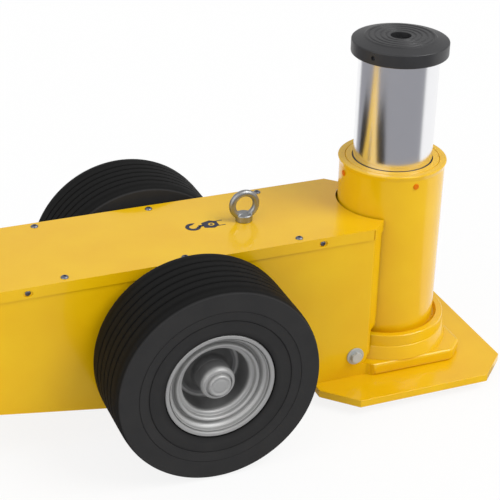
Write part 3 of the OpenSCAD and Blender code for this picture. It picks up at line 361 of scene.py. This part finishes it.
# A round piece from stations of (radius, height), in millimetres, closed where the last meets the first
def turned(name, stations, sides=128):
    startPiece()
    radius, height = stations[0]
    bpy.ops.mesh.primitive_circle_add(vertices=sides, radius=radius / 1000, enter_editmode=True)
    bpy.context.object.name = name
    bpy.ops.mesh.select_all(action="SELECT")
    bpy.ops.transform.translate(value=(0, 0, height / 1000))
    for nextRadius, nextHeight in stations[1:]:
        rise = (nextHeight - height) / 1000
        share = nextRadius / radius
        bpy.ops.mesh.extrude_region_move(TRANSFORM_OT_translate={"value": (0, 0, rise)})
        bpy.ops.transform.resize(value=(share, share, 1), center_override=(0, 0, nextHeight / 1000))
        radius, height = nextRadius, nextHeight
    closePiece()
    return bpy.context.object


def setDown(piece, place=(0, 0, 0), turn=(0, 0, 0)):
    startPiece(piece)
    piece.location = [value / 1000 for value in place]
    piece.rotation_euler = [math.radians(value) for value in turn]
    bpy.ops.object.transform_apply(location=True, rotation=True, scale=True)


def useModifier(piece, kind, **settings):
    startPiece(piece)
    modifier = piece.modifiers.new(kind.lower(), kind)
    for key, value in settings.items():
        setattr(modifier, key, value)
    bpy.ops.object.modifier_apply(modifier=modifier.name)


def cutAway(piece, cutter):
    useModifier(piece, "BOOLEAN", operation="DIFFERENCE", object=cutter, solver="EXACT")
    bpy.data.objects.remove(cutter)


def join(first, *others):
    startPiece(first, *others)
    bpy.ops.object.join()
    return first


def copied(piece, name):
    twin = piece.copy()
    twin.data = piece.data.copy()
    twin.name = name
    bpy.context.collection.objects.link(twin)
    return twin


def another(piece, name, place=(0, 0, 0), turn=(0, 0, 0)):
    twin = copied(piece, name)
    setDown(twin, place, turn)
    return twin


def clean(node, name):
    piece = copied(nodes[node], name)
    openPiece(piece)
    bpy.ops.mesh.remove_doubles(threshold=0.000005)
    bpy.ops.mesh.dissolve_limited(angle_limit=math.radians(0.5))
    bpy.ops.object.mode_set(mode="OBJECT")
    return piece


def finishPiece(piece, body, slotName, *replaced, angle=35):
    openPiece(piece)
    bpy.ops.mesh.dissolve_degenerate(threshold=0.000002)
    bpy.ops.object.mode_set(mode="OBJECT")
    bpy.ops.object.shade_smooth_by_angle(angle=math.radians(angle))
    useModifier(piece, "WEIGHTED_NORMAL", mode="FACE_AREA", weight=80, keep_sharp=True)
    piece.data.materials.clear()
    piece.data.materials.append(finishes[slotName].material)
    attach(piece, body)
    if replaced:
        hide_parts(*replaced)


def softened(node, name, body, slotName, width, segments):
    piece = clean(node, name)
    useModifier(piece, "BEVEL", width=width / 1000, segments=segments, limit_method="ANGLE",
                angle_limit=math.radians(30), use_clamp_overlap=True, harden_normals=False)
    finishPiece(piece, body, slotName, node)


def middle(node):
    low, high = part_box(node)
    return [(a + b) * 500 for a, b in zip(low, high)]


def topOf(node):
    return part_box(node)[1][2] * 1000


# Wheels: stations are (radius, distance from the wheel's middle plane)
wheelSizes = {
    "tyreRadius": 205, "shoulderRadius": 200, "halfWidth": 83.5, "grooves": 5, "groovePitch": 20.75,
    "grooveWidth": 2.6, "grooveDepth": 2.2, "rimRadius": 110.3, "rimHalf": 78, "bowlRadius": 67.5,
    "bowlFloor": 5.5, "hubRadius": 34.6, "hubFront": 70, "capRadius": 23,
}


def makeTyre(sizes):
    top = sizes["tyreRadius"]
    half = sizes["halfWidth"]
    deep = sizes["grooveDepth"]
    wide = sizes["grooveWidth"] / 2
    shoulder = sizes["shoulderRadius"]
    rim = sizes["rimRadius"]
    side = [
        (101.5, 50), (101.5, 68), (107, 71), (rim + 0.8, 73), (rim + 1.6, 79.2), (rim + 5, 80.6),
        (123, 81.6), (138, 81.4), (141.4, 81.2), (142, 80.2), (143.2, 80.2), (144, 81.6), (160.4, 83.3),
        (161.6, 83.8), (162.1, 82.6), (163.2, 82.6), (163.8, 83.6), (176, 83.5), (190, 83.5), (196.5, half),
        (shoulder - 0.6, half - 0.3), (shoulder + 0.3, half - 1.2), (201.6, 79.5), (203.2, 74.5),
        (top - 0.8, 68), (top - 0.2, 58)]
    tread = []
    first = -(sizes["grooves"] - 1) / 2
    for index in range(sizes["grooves"]):
        at = -(first + index) * sizes["groovePitch"]
        for radius, step in ((top - 0.1, wide + 0.6), (top - 0.8, wide), (top - deep, wide - 0.5),
                             (top - deep, 0.5 - wide), (top - 0.8, -wide), (top - 0.1, -wide - 0.6)):
            tread.append((radius, at + step))
        if index < sizes["grooves"] - 1:
            tread.append((top, at - sizes["groovePitch"] / 2))
    inside = [(101.5, -50), (114, -50), (128, -64), (160, -71), (184, -66), (190, -50), (190, 50), (184, 66),
              (160, 71), (128, 64), (114, 50)]
    stations = side + tread + [(radius, -at) for radius, at in reversed(side)] + inside + side[:1]
    return turned("tyreRight", stations, 160)


def makeRim(sizes):
    r = sizes["rimRadius"]
    a = sizes["rimHalf"]
    b = sizes["bowlRadius"]
    f = sizes["bowlFloor"]
    h = sizes["hubRadius"]
    front = sizes["hubFront"]
    seat = 101.3
    well = 86.3
    face = [
        (r - 0.2, a - 3), (r - 0.6, a - 0.9), (r - 1.8, a), (r - 5.5, a), (r - 7.6, a - 0.6),
        (r - 8.8, a - 2.4), (r - 9.2, a - 6.4), (r - 10.4, a - 6.4), (r - 10.8, a - 4.4), (r - 11.8, a - 5),
        (r - 12.6, a - 8.5), (r - 13.4, a - 11.4), (r - 15, a - 12.4), (r - 17, a - 14),
        (r - 18.6, a - 17.2), (r - 20, a - 20), (r - 21.8, a - 21.2), (r - 23.8, a - 20.8),
        (r - 25.2, a - 18.4), (r - 26, a - 15.6), (r - 27.2, a - 14), (r - 29, a - 13.6),
        (r - 31, a - 14.4), (r - 32.4, a - 16.2), (b + 9.8, a - 19), (b + 9.2, a - 22.6), (b + 8, a - 23.6),
        (b + 5, a - 23.8), (b + 3, a - 24.6), (b + 1.4, a - 26.4), (b + 0.3, a - 29.4), (b, a - 33),
        (b - 1.5, f + 5), (b - 2, f + 1.4), (b - 3.2, f), (b - 8.7, f), (b - 10.4, f - 0.8),
        (b - 12.6, f - 2.3), (b - 14.6, f - 2.5), (b - 17, f - 1.4), (b - 21.5, f + 2.5),
        (h + 4.5, f + 8.6), (h + 2.8, f + 11.5), (h + 2.4, f + 14), (h + 1, f + 28.5), (h, f + 30),
        (h, front - 12), (h - 0.4, front - 8.4), (h - 1.6, front - 5), (h - 3.4, front - 2.4),
        (h - 4.2, front - 1.7), (h - 4.8, front - 0.4), (h - 6, front), (26.8, front), (26.1, front - 0.6)]
    back = [
        (26.1, -48), (h - 1, -48), (h, -47), (h, f + 3), (h + 4, f + 5), (b - 22, f - 3), (b - 14, f - 8),
        (b - 3, f - 5), (b + 3, f + 2), (b + 4.5, a - 38), (b + 8, a - 31), (b + 12, a - 27),
        (b + 24, a - 27), (seat - 4, a - 24), (seat - 4, a - 30), (well - 4, a - 42), (well - 4, 38 - a),
        (seat - 4, 28 - a), (seat - 4, 9 - a), (seat - 1.6, 2.2 - a), (seat, 0.4 - a), (r - 1.8, -a),
        (r - 0.6, 0.9 - a), (r, 4 - a), (seat + 2, 5 - a), (seat, 9 - a), (seat, 30 - a), (well, 40 - a),
        (well, a - 40), (seat, a - 30), (seat, a - 9), (seat + 2, a - 5), (r - 0.2, a - 4)]
    return turned("rimRight", face + back + face[:1], 144)


def makeHubCap(sizes):
    r = sizes["capRadius"]
    front = sizes["hubFront"]
    stations = [
        (0.001, front + 6.4), (10.6, front + 6.4), (12, front + 6.2), (13.4, front + 5.6),
        (15, front + 5.2), (16.6, front + 5.6), (18, front + 6.5), (19.3, front + 6.8), (20.4, front + 6.4),
        (21.4, front + 5.5), (22.2, front + 4.4), (r - 0.4, front + 2.6), (r - 0.1, front + 1),
        (r, front - 2), (25.9, front - 3), (25.9, front - 12), (24, front - 12), (24, front - 5),
        (r - 2, front - 4), (r - 2, front + 2), (15, front + 3.5), (0.001, front + 3.5)]
    return turned("hubCapRight", stations, 96)


def makeWheels(sizes):
    axle = middle("axle")
    wheelY = middle("tyre_right")[1]
    kinds = (
        (makeTyre, "tyre", "tyre", "tyreLeft"), (makeRim, "rim_silver", "rim", "rimLeft"),
        (makeHubCap, "rim_silver", "hub_cap", "hubCapLeft"))
    for make, slotName, node, leftName in kinds:
        right = make(sizes)
        left = another(right, leftName, (axle[0], -wheelY, axle[2]), (-90, 0, 0))
        setDown(right, (axle[0], wheelY, axle[2]), (90, 0, 0))
        finishPiece(right, "wheel_right", slotName, node + "_right", angle=32)
        finishPiece(left, "wheel_left", slotName, node + "_left", angle=32)


makeWheels(wheelSizes)
print("wheels made")

# Cylinder with its foot, gland nut, ram and saddle
cylinderSizes = {
    "blockTop": 43.65, "tubeRadius": 109.55, "tubeTop": 456.7, "beadRadius": 112.85, "boreRadius": 95.6,
    "glandRadius": 98, "plugHeight": 433, "ramRadius": 82, "ramTop": 703, "ramLow": 388.7,
    "saddleRadius": 98.9, "saddleLow": 682.8, "saddleSide": 28.2, "saddleRise": 8, "saddleFlat": 70,
    "saddleHole": 20.7, "grooves": (30, 41.7, 53.4, 65.1), "grooveWidth": 5, "grooveDepth": 1.8,
    "screwRadius": 4.5, "screwHeight": 697.3, "screwTurn": 210.4,  # degrees
}


def makeCylinder(sizes):
    low = sizes["blockTop"]
    top = sizes["tubeTop"]
    r = sizes["tubeRadius"]
    bead = sizes["beadRadius"]
    gland = sizes["glandRadius"]
    bore = sizes["boreRadius"]
    tube = turned("cylinderTube", [
        (bore, low), (r, low), (r, top - 12.4), (r + 0.3, top - 10.8), (bead - 0.5, top - 3.4),
        (bead - 0.1, top - 2.2), (bead - 0.5, top - 1), (bead - 1.6, top - 0.2), (bead - 2.6, top),
        (gland + 1.9, top), (gland + 1, top - 0.3), (gland + 0.1, top - 1.6), (gland, top - 3),
        (gland, top - 30), (bore, top - 30), (bore, low)], 192)
    finishPiece(tube, "chassis", "yellow_paint", "cylinder_tube", angle=28)

    ram = sizes["ramRadius"]
    nut = turned("glandNut", [
        (ram + 2, top - 2), (ram + 2, top - 0.5), (ram + 2.5, top), (gland - 2.2, top),
        (gland - 1.2, top - 0.3), (gland - 0.3, top - 1.5), (gland - 0.06, top - 3),
        (gland - 0.06, top - 29.9), (bore - 0.1, top - 29.9), (bore - 0.1, top - 69.9),
        (ram + 0.1, top - 69.9), (ram + 0.1, top - 8), (ram + 6, top - 8), (ram + 6, top - 2),
        (ram + 2, top - 2)], 160)
    finishPiece(nut, "chassis", "yellow_paint", "gland_nut", angle=28)

    collar = turned("footCollar", [
        (r + 0.06, low), (141, low), (140.9, low + 1.2), (133.9, 70.4), (133.5, 71.6), (133, 72.1),
        (132.5, 72.4), (132.3, 73), (132.4, 95.6), (132, 97.4), (131, 98.4), (129.6, 98.7), (119.4, 98.7),
        (118.2, 98.2), (117.4, 96.8), (116.6, 92.6), (115, 90.2), (112.6, 88.8), (r + 0.06, 88.2),
        (r + 0.06, low)], 192)
    finishPiece(collar, "chassis", "yellow_paint", "foot_collar", angle=28)

    plug = turned("plug", [
        (0.001, 2.4), (2.2, 2.5), (4, 2.6), (5.2, 2.2), (6, 1.2), (6.2, 0.3), (4.9, 0.3), (4.9, -6.5),
        (0.001, -6.5)], 40)
    plugs = []
    for turn in (0, 90, 180, 270):
        angle = math.radians(turn)
        place = (r * math.cos(angle), r * math.sin(angle), sizes["plugHeight"])
        plugs.append(another(plug, "plugs", place, (0, 90, turn)))
    bpy.data.objects.remove(plug)
    finishPiece(join(*plugs), "chassis", "orange_plastic", "lock_screw_plugs")

    end = sizes["ramTop"]
    low = sizes["ramLow"]
    bar = turned("ramBar", [
        (0.004, end - 60), (58, end - 60), (58, low), (ram, low), (ram, end - 3), (ram - 0.6, end - 1.2),
        (ram - 2.2, end), (18, end), (18, end - 30), (0.004, end - 30)], 192)
    finishPiece(bar, "ram_body", "chrome", "ram", angle=28)


def makeSaddle(sizes):
    low = sizes["saddleLow"]
    side = low + sizes["saddleSide"]
    top = side + sizes["saddleRise"]
    r = sizes["saddleRadius"]
    flat = sizes["saddleFlat"]
    hole = sizes["saddleHole"]
    wide = sizes["grooveWidth"] / 2
    deep = sizes["grooveDepth"]
    seat = sizes["ramRadius"] + 0.1
    seatTop = sizes["ramTop"] + 0.2
    stations = [
        (seat, low), (r - 3, low), (r - 1.6, low + 0.4), (r - 0.5, low + 1.4), (r, low + 3),
        (r, side - 2.2), (r - 0.4, side - 0.9), (r - 1.4, side), (r - 3, side + 0.5), (flat + 5, top - 2.6),
        (flat + 3.6, top - 1.8), (flat + 1.6, top - 0.3), (flat + 0.4, top)]
    for at in reversed(sizes["grooves"]):
        stations += [
            (at + wide + 0.5, top), (at + wide - 0.2, top - 0.3), (at + wide * 0.62, top - deep * 0.72),
            (at + wide * 0.2, top - deep), (at - wide * 0.2, top - deep),
            (at - wide * 0.62, top - deep * 0.72), (at - wide + 0.2, top - 0.3), (at - wide - 0.5, top)]
    stations += [
        (hole + 1.6, top), (hole + 0.5, top - 0.4), (hole, top - 1.6), (hole, seatTop), (seat, seatTop),
        (seat, low)]
    saddle = turned("saddleTop", stations, 160)
    angle = math.radians(sizes["screwTurn"])
    place = (0.1 * math.cos(angle), 0.1 * math.sin(angle), sizes["screwHeight"] / 1000)
    startPiece()
    bpy.ops.mesh.primitive_cylinder_add(vertices=40, radius=sizes["screwRadius"] / 1000, depth=0.04,
                                        rotation=(0, math.pi / 2, angle), location=place)
    cutAway(saddle, bpy.context.object)
    finishPiece(saddle, "ram_body", "dark_iron", "saddle", angle=32)


makeCylinder(cylinderSizes)
makeSaddle(cylinderSizes)
print("cylinder and saddle made")

# Lifting eye, forged in one piece
eyeSizes = {
    "ringRadius": 25.5, "wireRadius": 7, "rise": 35, "footRadius": 17.5, "footHeight": 15.4, "grain": 0.7,
    "shankRadius": 8, "shankLength": 32.5,
}


def makeEye(sizes):
    x = middle("lifting_eye")[0]
    coverTop = topOf("top_cover")
    startPiece()
    bpy.ops.mesh.primitive_torus_add(major_segments=96, minor_segments=32,
                                     major_radius=sizes["ringRadius"] / 1000,
                                     minor_radius=sizes["wireRadius"] / 1000)
    ring = bpy.context.object
    setDown(ring, (x, 0, coverTop + sizes["rise"]), (90, 0, 0))
    wide = sizes["footRadius"]
    tall = sizes["footHeight"]
    foot = turned("foot", [
        (0.001, 0), (wide - 0.6, 0), (wide, 0.8), (wide, tall - 1.8), (wide - 1.8, tall),
        (0.001, tall + 0.2)], 64)
    setDown(foot, (x, 0, coverTop))
    eye = join(ring, foot)
    eye.name = "liftingEye"
    useModifier(eye, "REMESH", mode="VOXEL", voxel_size=sizes["grain"] / 1000)
    useModifier(eye, "SMOOTH", factor=0.5, iterations=8)
    thick = sizes["shankRadius"]
    deep = sizes["shankLength"]
    shank = turned("shank", [
        (0.001, 0.2), (thick, 0.2), (thick, 1.5 - deep), (thick - 1, -deep), (0.001, -deep)], 48)
    setDown(shank, (x, 0, coverTop))
    finishPiece(join(eye, shank), "chassis", "zinc_steel", "lifting_eye", angle=40)


makeEye(eyeSizes)

# Screws of the cover and the side plates, and the chassis bolts
screwSizes = {
    "buttonRadius": 7.6, "buttonHeight": 3.5, "buttonLength": 14,
    "coverX": (-256, -496.5, -737), "coverY": 112,
    "panRadius": 5.5, "panHeight": 2.2, "panLength": 13, "socket": 3.4,
    "sideX": (-210, -812), "sideZ": 348, "sideY": 126.1,
    "boltX": -122.4, "boltZ": 66.9, "headRadius": 12.3, "headLow": 3, "headTop": 12,
}


def makeScrew(name, radius, tall, socket, length):
    screw = turned(name, [
        (0.001, tall), (radius * 0.45, tall), (radius * 0.72, tall * 0.86), (radius * 0.9, tall * 0.58),
        (radius, tall * 0.2), (radius, 0), (3, 0), (3, -length), (0.001, -length)], 40)
    startPiece()
    bpy.ops.mesh.primitive_cylinder_add(vertices=6, radius=socket / 1000, depth=0.005,
                                        location=(0, 0, tall / 1000))
    cutAway(screw, bpy.context.object)
    return screw


def makeScrews(sizes):
    coverTop = topOf("top_cover")
    side = sizes["sideY"]
    socket = sizes["socket"]
    button = makeScrew("button", sizes["buttonRadius"], sizes["buttonHeight"], socket, sizes["buttonLength"])
    pan = makeScrew("pan", sizes["panRadius"], sizes["panHeight"], socket, sizes["panLength"])
    screws = []
    for x in sizes["coverX"]:
        for y in (-sizes["coverY"], sizes["coverY"]):
            screws.append(another(button, "coverScrews", (x, y, coverTop), (0, 0, x)))
    for x in sizes["sideX"]:
        screws.append(another(pan, "sideScrews", (x, -side, sizes["sideZ"]), (90, 0, 0)))
        screws.append(another(pan, "sideScrews", (x, side, sizes["sideZ"]), (-90, 0, 0)))
    bpy.data.objects.remove(button)
    bpy.data.objects.remove(pan)
    finishPiece(join(*screws), "chassis", "zinc_steel", "cover_screws")
    screws[0].data.materials[0] = finishes["screw_steel"].material


def makeBolts(sizes):
    low = sizes["headLow"]
    high = sizes["headTop"]
    washer = turned("washer", [(7.1, 0), (18.4, 0), (19, 0.6), (19, 2.4), (18.4, 3), (7.1, 3), (7.1, 0)], 64)
    startPiece()
    bpy.ops.mesh.primitive_cylinder_add(vertices=6, radius=sizes["headRadius"] / 1000,
                                        depth=(high - low) / 1000, location=(0, 0, (high + low) / 2000))
    head = bpy.context.object
    bpy.ops.object.transform_apply(location=True, rotation=True, scale=True)
    dome = turned("dome", [(0.001, 12.1), (10.4, 12.1), (12.6, 10.7), (12.6, 2.9), (0.001, 2.9)], 64)
    useModifier(head, "BOOLEAN", operation="INTERSECT", object=dome, solver="EXACT")
    bpy.data.objects.remove(dome)
    shank = turned("shank", [(0.001, 3.4), (7, 3.4), (7, -24), (0.001, -24)], 40)
    right = join(washer, head, shank)
    left = another(right, "boltLeft", (sizes["boltX"], sizes["sideY"], sizes["boltZ"]), (-90, 0, 0))
    setDown(right, (sizes["boltX"], -sizes["sideY"], sizes["boltZ"]), (90, 0, 0))
    finishPiece(join(right, left), "chassis", "zinc_steel", "chassis_bolts", angle=25)
    right.data.materials[0] = finishes["washer_zinc"].material


makeScrews(screwSizes)
makeBolts(screwSizes)
print("eye and fasteners made")


def makeSprings():
    springs = copied(nodes["axle_springs"], "axleSprings")
    openPiece(springs)
    closePiece()
    finishPiece(springs, "chassis", "spring_steel", "axle_springs", angle=50)
    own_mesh(springs)


makeSprings()
print("springs made")

# The block under the collar, rounded more at its upright corners than along its top
blockSizes = {"corner": 7, "edge": 2.2, "frontX": 0.098, "sideY": 0.13}


def roundLines(piece, chosen, width, segments):
    mesh = piece.data
    for part in (*mesh.vertices, *mesh.polygons):
        part.select = False
    for line in mesh.edges:
        ends = [mesh.vertices[index].co for index in line.vertices]
        line.select = chosen(*ends)
    bpy.ops.object.mode_set(mode="EDIT")
    bpy.ops.mesh.select_mode(type="EDGE")
    bpy.ops.mesh.bevel(offset=width / 1000, segments=segments, affect="EDGES")
    bpy.ops.mesh.select_mode(type="VERT")
    bpy.ops.object.mode_set(mode="OBJECT")


def makeBlock(sizes):
    block = clean("base_block", "baseBlock")
    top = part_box("base_block")[1][2] - 0.0001

    def outside(spot):
        return abs(spot.y) > sizes["sideY"] or spot.x > sizes["frontX"]

    roundLines(block, lambda a, b: outside(a) and (a - b).to_2d().length < 0.0001, sizes["corner"], 6)
    roundLines(block, lambda a, b: outside(a) and outside(b) and min(a.z, b.z) > top, sizes["edge"], 3)
    finishPiece(block, "chassis", "yellow_paint", "base_block")


makeBlock(blockSizes)

# Sheets and other pieces with broken edges: name, finish, width of the edge and its steps
edgeWidths = {
    "base_plate": ("basePlate", "yellow_paint", 0.9, 2),
    "side_plate_right": ("sidePlateRight", "yellow_paint", 0.9, 2),
    "side_plate_left": ("sidePlateLeft", "yellow_paint", 0.9, 2),
    "top_cover": ("topCover", "yellow_paint", 0.8, 2),
    "rear_panel": ("rearPanel", "yellow_paint", 0.8, 2),
    "hitch_bracket": ("hitchBracket", "yellow_paint", 0.9, 2),
    "air_valve": ("airValve", "cast_aluminium", 0.8, 2),
    "raise_lever": ("raiseLever", "black_plastic", 0.6, 2),
    "release_knob": ("releaseKnob", "black_plastic", 1.2, 3),
    "drawbar": ("drawbarTube", "yellow_paint", 0.6, 2),
    "handle_grips": ("handleGrips", "black_rubber", 0.6, 2),
    "inlet_nipple": ("inletNipple", "brass", 0.4, 2),
    "hitch_pin": ("hitchPin", "zinc_steel", 0.8, 2),
    "lever_pin": ("leverPin", "zinc_steel", 0.4, 2),
    "axle_nuts": ("axleNuts", "zinc_steel", 0.6, 2),
    "pump_block": ("pumpBlock", "dark_iron", 0.8, 2),
    "air_motor": ("airMotor", "cast_aluminium", 0.5, 2),
    "reservoir": ("oilTank", "tank_paint", 1.5, 3),
    "filler_plug": ("fillerPlug", "zinc_steel", 0.6, 2),
    "port_elbow": ("portElbow", "zinc_steel", 0.8, 2),
    "floor_pan": ("floorPan", "yellow_paint", 0.5, 2),
    "chassis_lugs": ("chassisLugs", "yellow_paint", 0.8, 2),
    "lifting_bridge": ("liftingBridge", "yellow_paint", 0.8, 2),
    "valve_plunger": ("valvePlunger", "bare_steel", 0.2, 2),
    "air_pipe": ("airPipe", "bare_steel", 0.2, 2),
}
bodyOf = {}
for body, held in frame["record"]["behaviour"]["bodies"].items():
    for node in held:
        bodyOf[node] = body
for node, (name, slotName, width, segments) in edgeWidths.items():
    softened(node, name, bodyOf[node], slotName, width, segments)
print("sheets and blocks made")

# Lifting pictogram on the cover, a hook under a block
signSizes = {"left": -453, "midY": 4.5, "film": 0.25, "lift": 0.02, "wheel": 54, "wheelHole": 6.5, "pin": 3.2}


def flatShape(name, points, top, film):
    startPiece()
    bpy.ops.mesh.primitive_circle_add(vertices=len(points), radius=0.01, enter_editmode=True)
    shape = bpy.context.object
    shape.name = name
    bpy.ops.object.mode_set(mode="OBJECT")
    for vertex, (x, y) in zip(shape.data.vertices, points):
        vertex.co = (x / 1000, y / 1000, top / 1000)
    bpy.ops.object.mode_set(mode="EDIT")
    bpy.ops.mesh.select_all(action="SELECT")
    bpy.ops.mesh.edge_face_add()
    bpy.ops.mesh.extrude_region_move(TRANSFORM_OT_translate={"value": (0, 0, film / 1000)})
    closePiece(0.000001)
    return shape


def band(centre, inner, outer, start, end, steps=28):
    angles = [math.radians(start + (end - start) * index / steps) for index in range(steps + 1)]
    rim = [(centre[0] + outer * math.cos(a), centre[1] + outer * math.sin(a)) for a in angles]
    core = [(centre[0] + inner * math.cos(a), centre[1] + inner * math.sin(a)) for a in reversed(angles)]
    return rim + core


def disc(centre, radius, sides=28):
    angles = [2 * math.pi * index / sides for index in range(sides)]
    return [(centre[0] + radius * math.cos(a), centre[1] + radius * math.sin(a)) for a in angles]


def makeSign(sizes):
    top = topOf("top_cover") + sizes["lift"]
    x = sizes["left"]
    y = sizes["midY"]
    wheel = (x + sizes["wheel"], y)

    def shape(name, points):
        return flatShape(name, points, top, sizes["film"])

    block = shape("liftSign", [
        (x + 36, y - 11), (x + 55, y - 17), (x + 68, y - 9), (x + 68, y + 9), (x + 55, y + 17),
        (x + 36, y + 11)])
    startPiece()
    bpy.ops.mesh.primitive_cylinder_add(vertices=40, radius=sizes["wheelHole"] / 1000, depth=0.01,
                                        location=(wheel[0] / 1000, y / 1000, top / 1000))
    cutAway(block, bpy.context.object)
    sign = join(
        block,
        shape("pin", disc(wheel, sizes["pin"])),
        shape("hook", band((x + 15, y), 8, 16, 85, 350)),
        shape("tip", [(x + 16, y + 15.9), (x + 15.4, y + 8), (x + 23.5, y + 14.5)]),
        shape("neck", [(x + 27, y + 3.4), (x + 37, y + 3.4), (x + 37, y - 3.4), (x + 25, y - 6)]),
        shape("ropeOne", [(x + 65, y + 9), (x + 81, y + 9), (x + 81, y + 11.4), (x + 64, y + 11.4)]),
        shape("ropeTwo", [(x + 64, y - 11.4), (x + 81, y - 11.4), (x + 81, y - 9), (x + 65, y - 9)]))
    finishPiece(sign, "chassis", "black_plastic")
    sign.data.materials[0] = finishes["sign_ink"].material


makeSign(signSizes)
print("sign made")

# Floor, background and lamps
studio = {
    "floorZ": -0.0203, "floorSize": 60, "floorColour": (0.9, 0.9, 0.9, 1), "floorRough": 0.9,
    "clear": 0.86,  # share of the floor that shows as plain white, the rest keeps the shadow
    # painted reflection: polished metal sees the floor in front in this grey and on the bright side in white,
    # while the camera sees the floor white
    "shade": (0.21, 0.212, 0.242),  # what polished metal sees of the floor in front
    "brightSide": 40,  # degrees, the side where it sees white
    "edge": (0.24, 0.31),  # cosines between which one turns into the other
    "sky": {"Is Camera Ray": 1, "Is Glossy Ray": 0.58, "Is Diffuse Ray": 0.57},
    "lamps": {"key": ((-0.62, 0.5, -0.95), 35, 1.68), "fill": ((1.1, 0.5, -0.6), 60, 0.8)},
}


def makeFloor(settings):
    bpy.ops.mesh.primitive_plane_add(size=settings["floorSize"], location=(0, 0, settings["floorZ"]))
    floor = bpy.context.object
    floor.name = "floor"
    finish = Finish("floor_pale", Base_Color=settings["floorColour"], Roughness=settings["floorRough"])
    rays = finish.tree.nodes.new("ShaderNodeLightPath")
    mirrored = Wire(finish, rays.outputs["Is Glossy Ray"])
    seen = Wire(finish, rays.outputs["Is Camera Ray"]).maths("MAXIMUM", mirrored)
    # painted reflection: to glossy rays the floor is grey in front and white towards the bright side
    spot = finish.add("ShaderNodeVectorMath", {"operation": "NORMALIZE"}, {0: finish.place()})
    angle = math.radians(settings["brightSide"])
    towards = (math.cos(angle), math.sin(angle), 0)
    aside = finish.add("ShaderNodeVectorMath", {"operation": "DOT_PRODUCT"}, {0: spot, 1: towards},
                       out="Value")
    bright = finish.ramp(aside, (settings["edge"][0], 0.0), (settings["edge"][1], 1.0))
    colour = finish.mix((1 - bright) * mirrored, (1, 1, 1), settings["shade"])
    glow = finish.add("ShaderNodeEmission", {}, {"Color": colour, "Strength": 1.0})
    shader = Wire(finish, finish.shader.outputs[0])
    mixed = finish.add("ShaderNodeMixShader", {}, {0: seen * settings["clear"], 1: shader, 2: glow})
    finish.plug(finish.tree.nodes["Material Output"].inputs["Surface"], mixed)
    floor.data.materials.append(finish.material)


# A white sky whose strength depends on the kind of ray that meets it
def makeSky(settings):
    world = bpy.data.worlds.new("studio")
    bpy.context.scene.world = world
    world.use_nodes = True
    tree = world.node_tree
    background = tree.nodes["Background"]
    background.inputs["Color"].default_value = (1, 1, 1, 1)
    rays = tree.nodes.new("ShaderNodeLightPath")
    level = None
    for ray, strength in settings["sky"].items():
        share = tree.nodes.new("ShaderNodeMath")
        share.operation = "MULTIPLY"
        share.inputs[1].default_value = strength
        tree.links.new(rays.outputs[ray], share.inputs[0])
        if level:
            both = tree.nodes.new("ShaderNodeMath")
            both.operation = "MAXIMUM"
            tree.links.new(level.outputs[0], both.inputs[0])
            tree.links.new(share.outputs[0], both.inputs[1])
            share = both
        level = share
    tree.links.new(level.outputs[0], background.inputs["Strength"])


def makeLamps(settings):
    for name, (aim, width, level) in settings["lamps"].items():
        bpy.ops.object.light_add(type="SUN", location=(0, 0, 3))
        lamp = bpy.context.object
        lamp.name = name
        lamp.rotation_euler = Vector(aim).to_track_quat("-Z", "Y").to_euler()
        lamp.data.energy = level
        lamp.data.angle = math.radians(width)


makeFloor(studio)
makeSky(studio)
makeLamps(studio)
bpy.context.scene.view_settings.view_transform = "Standard"
print("studio ready")
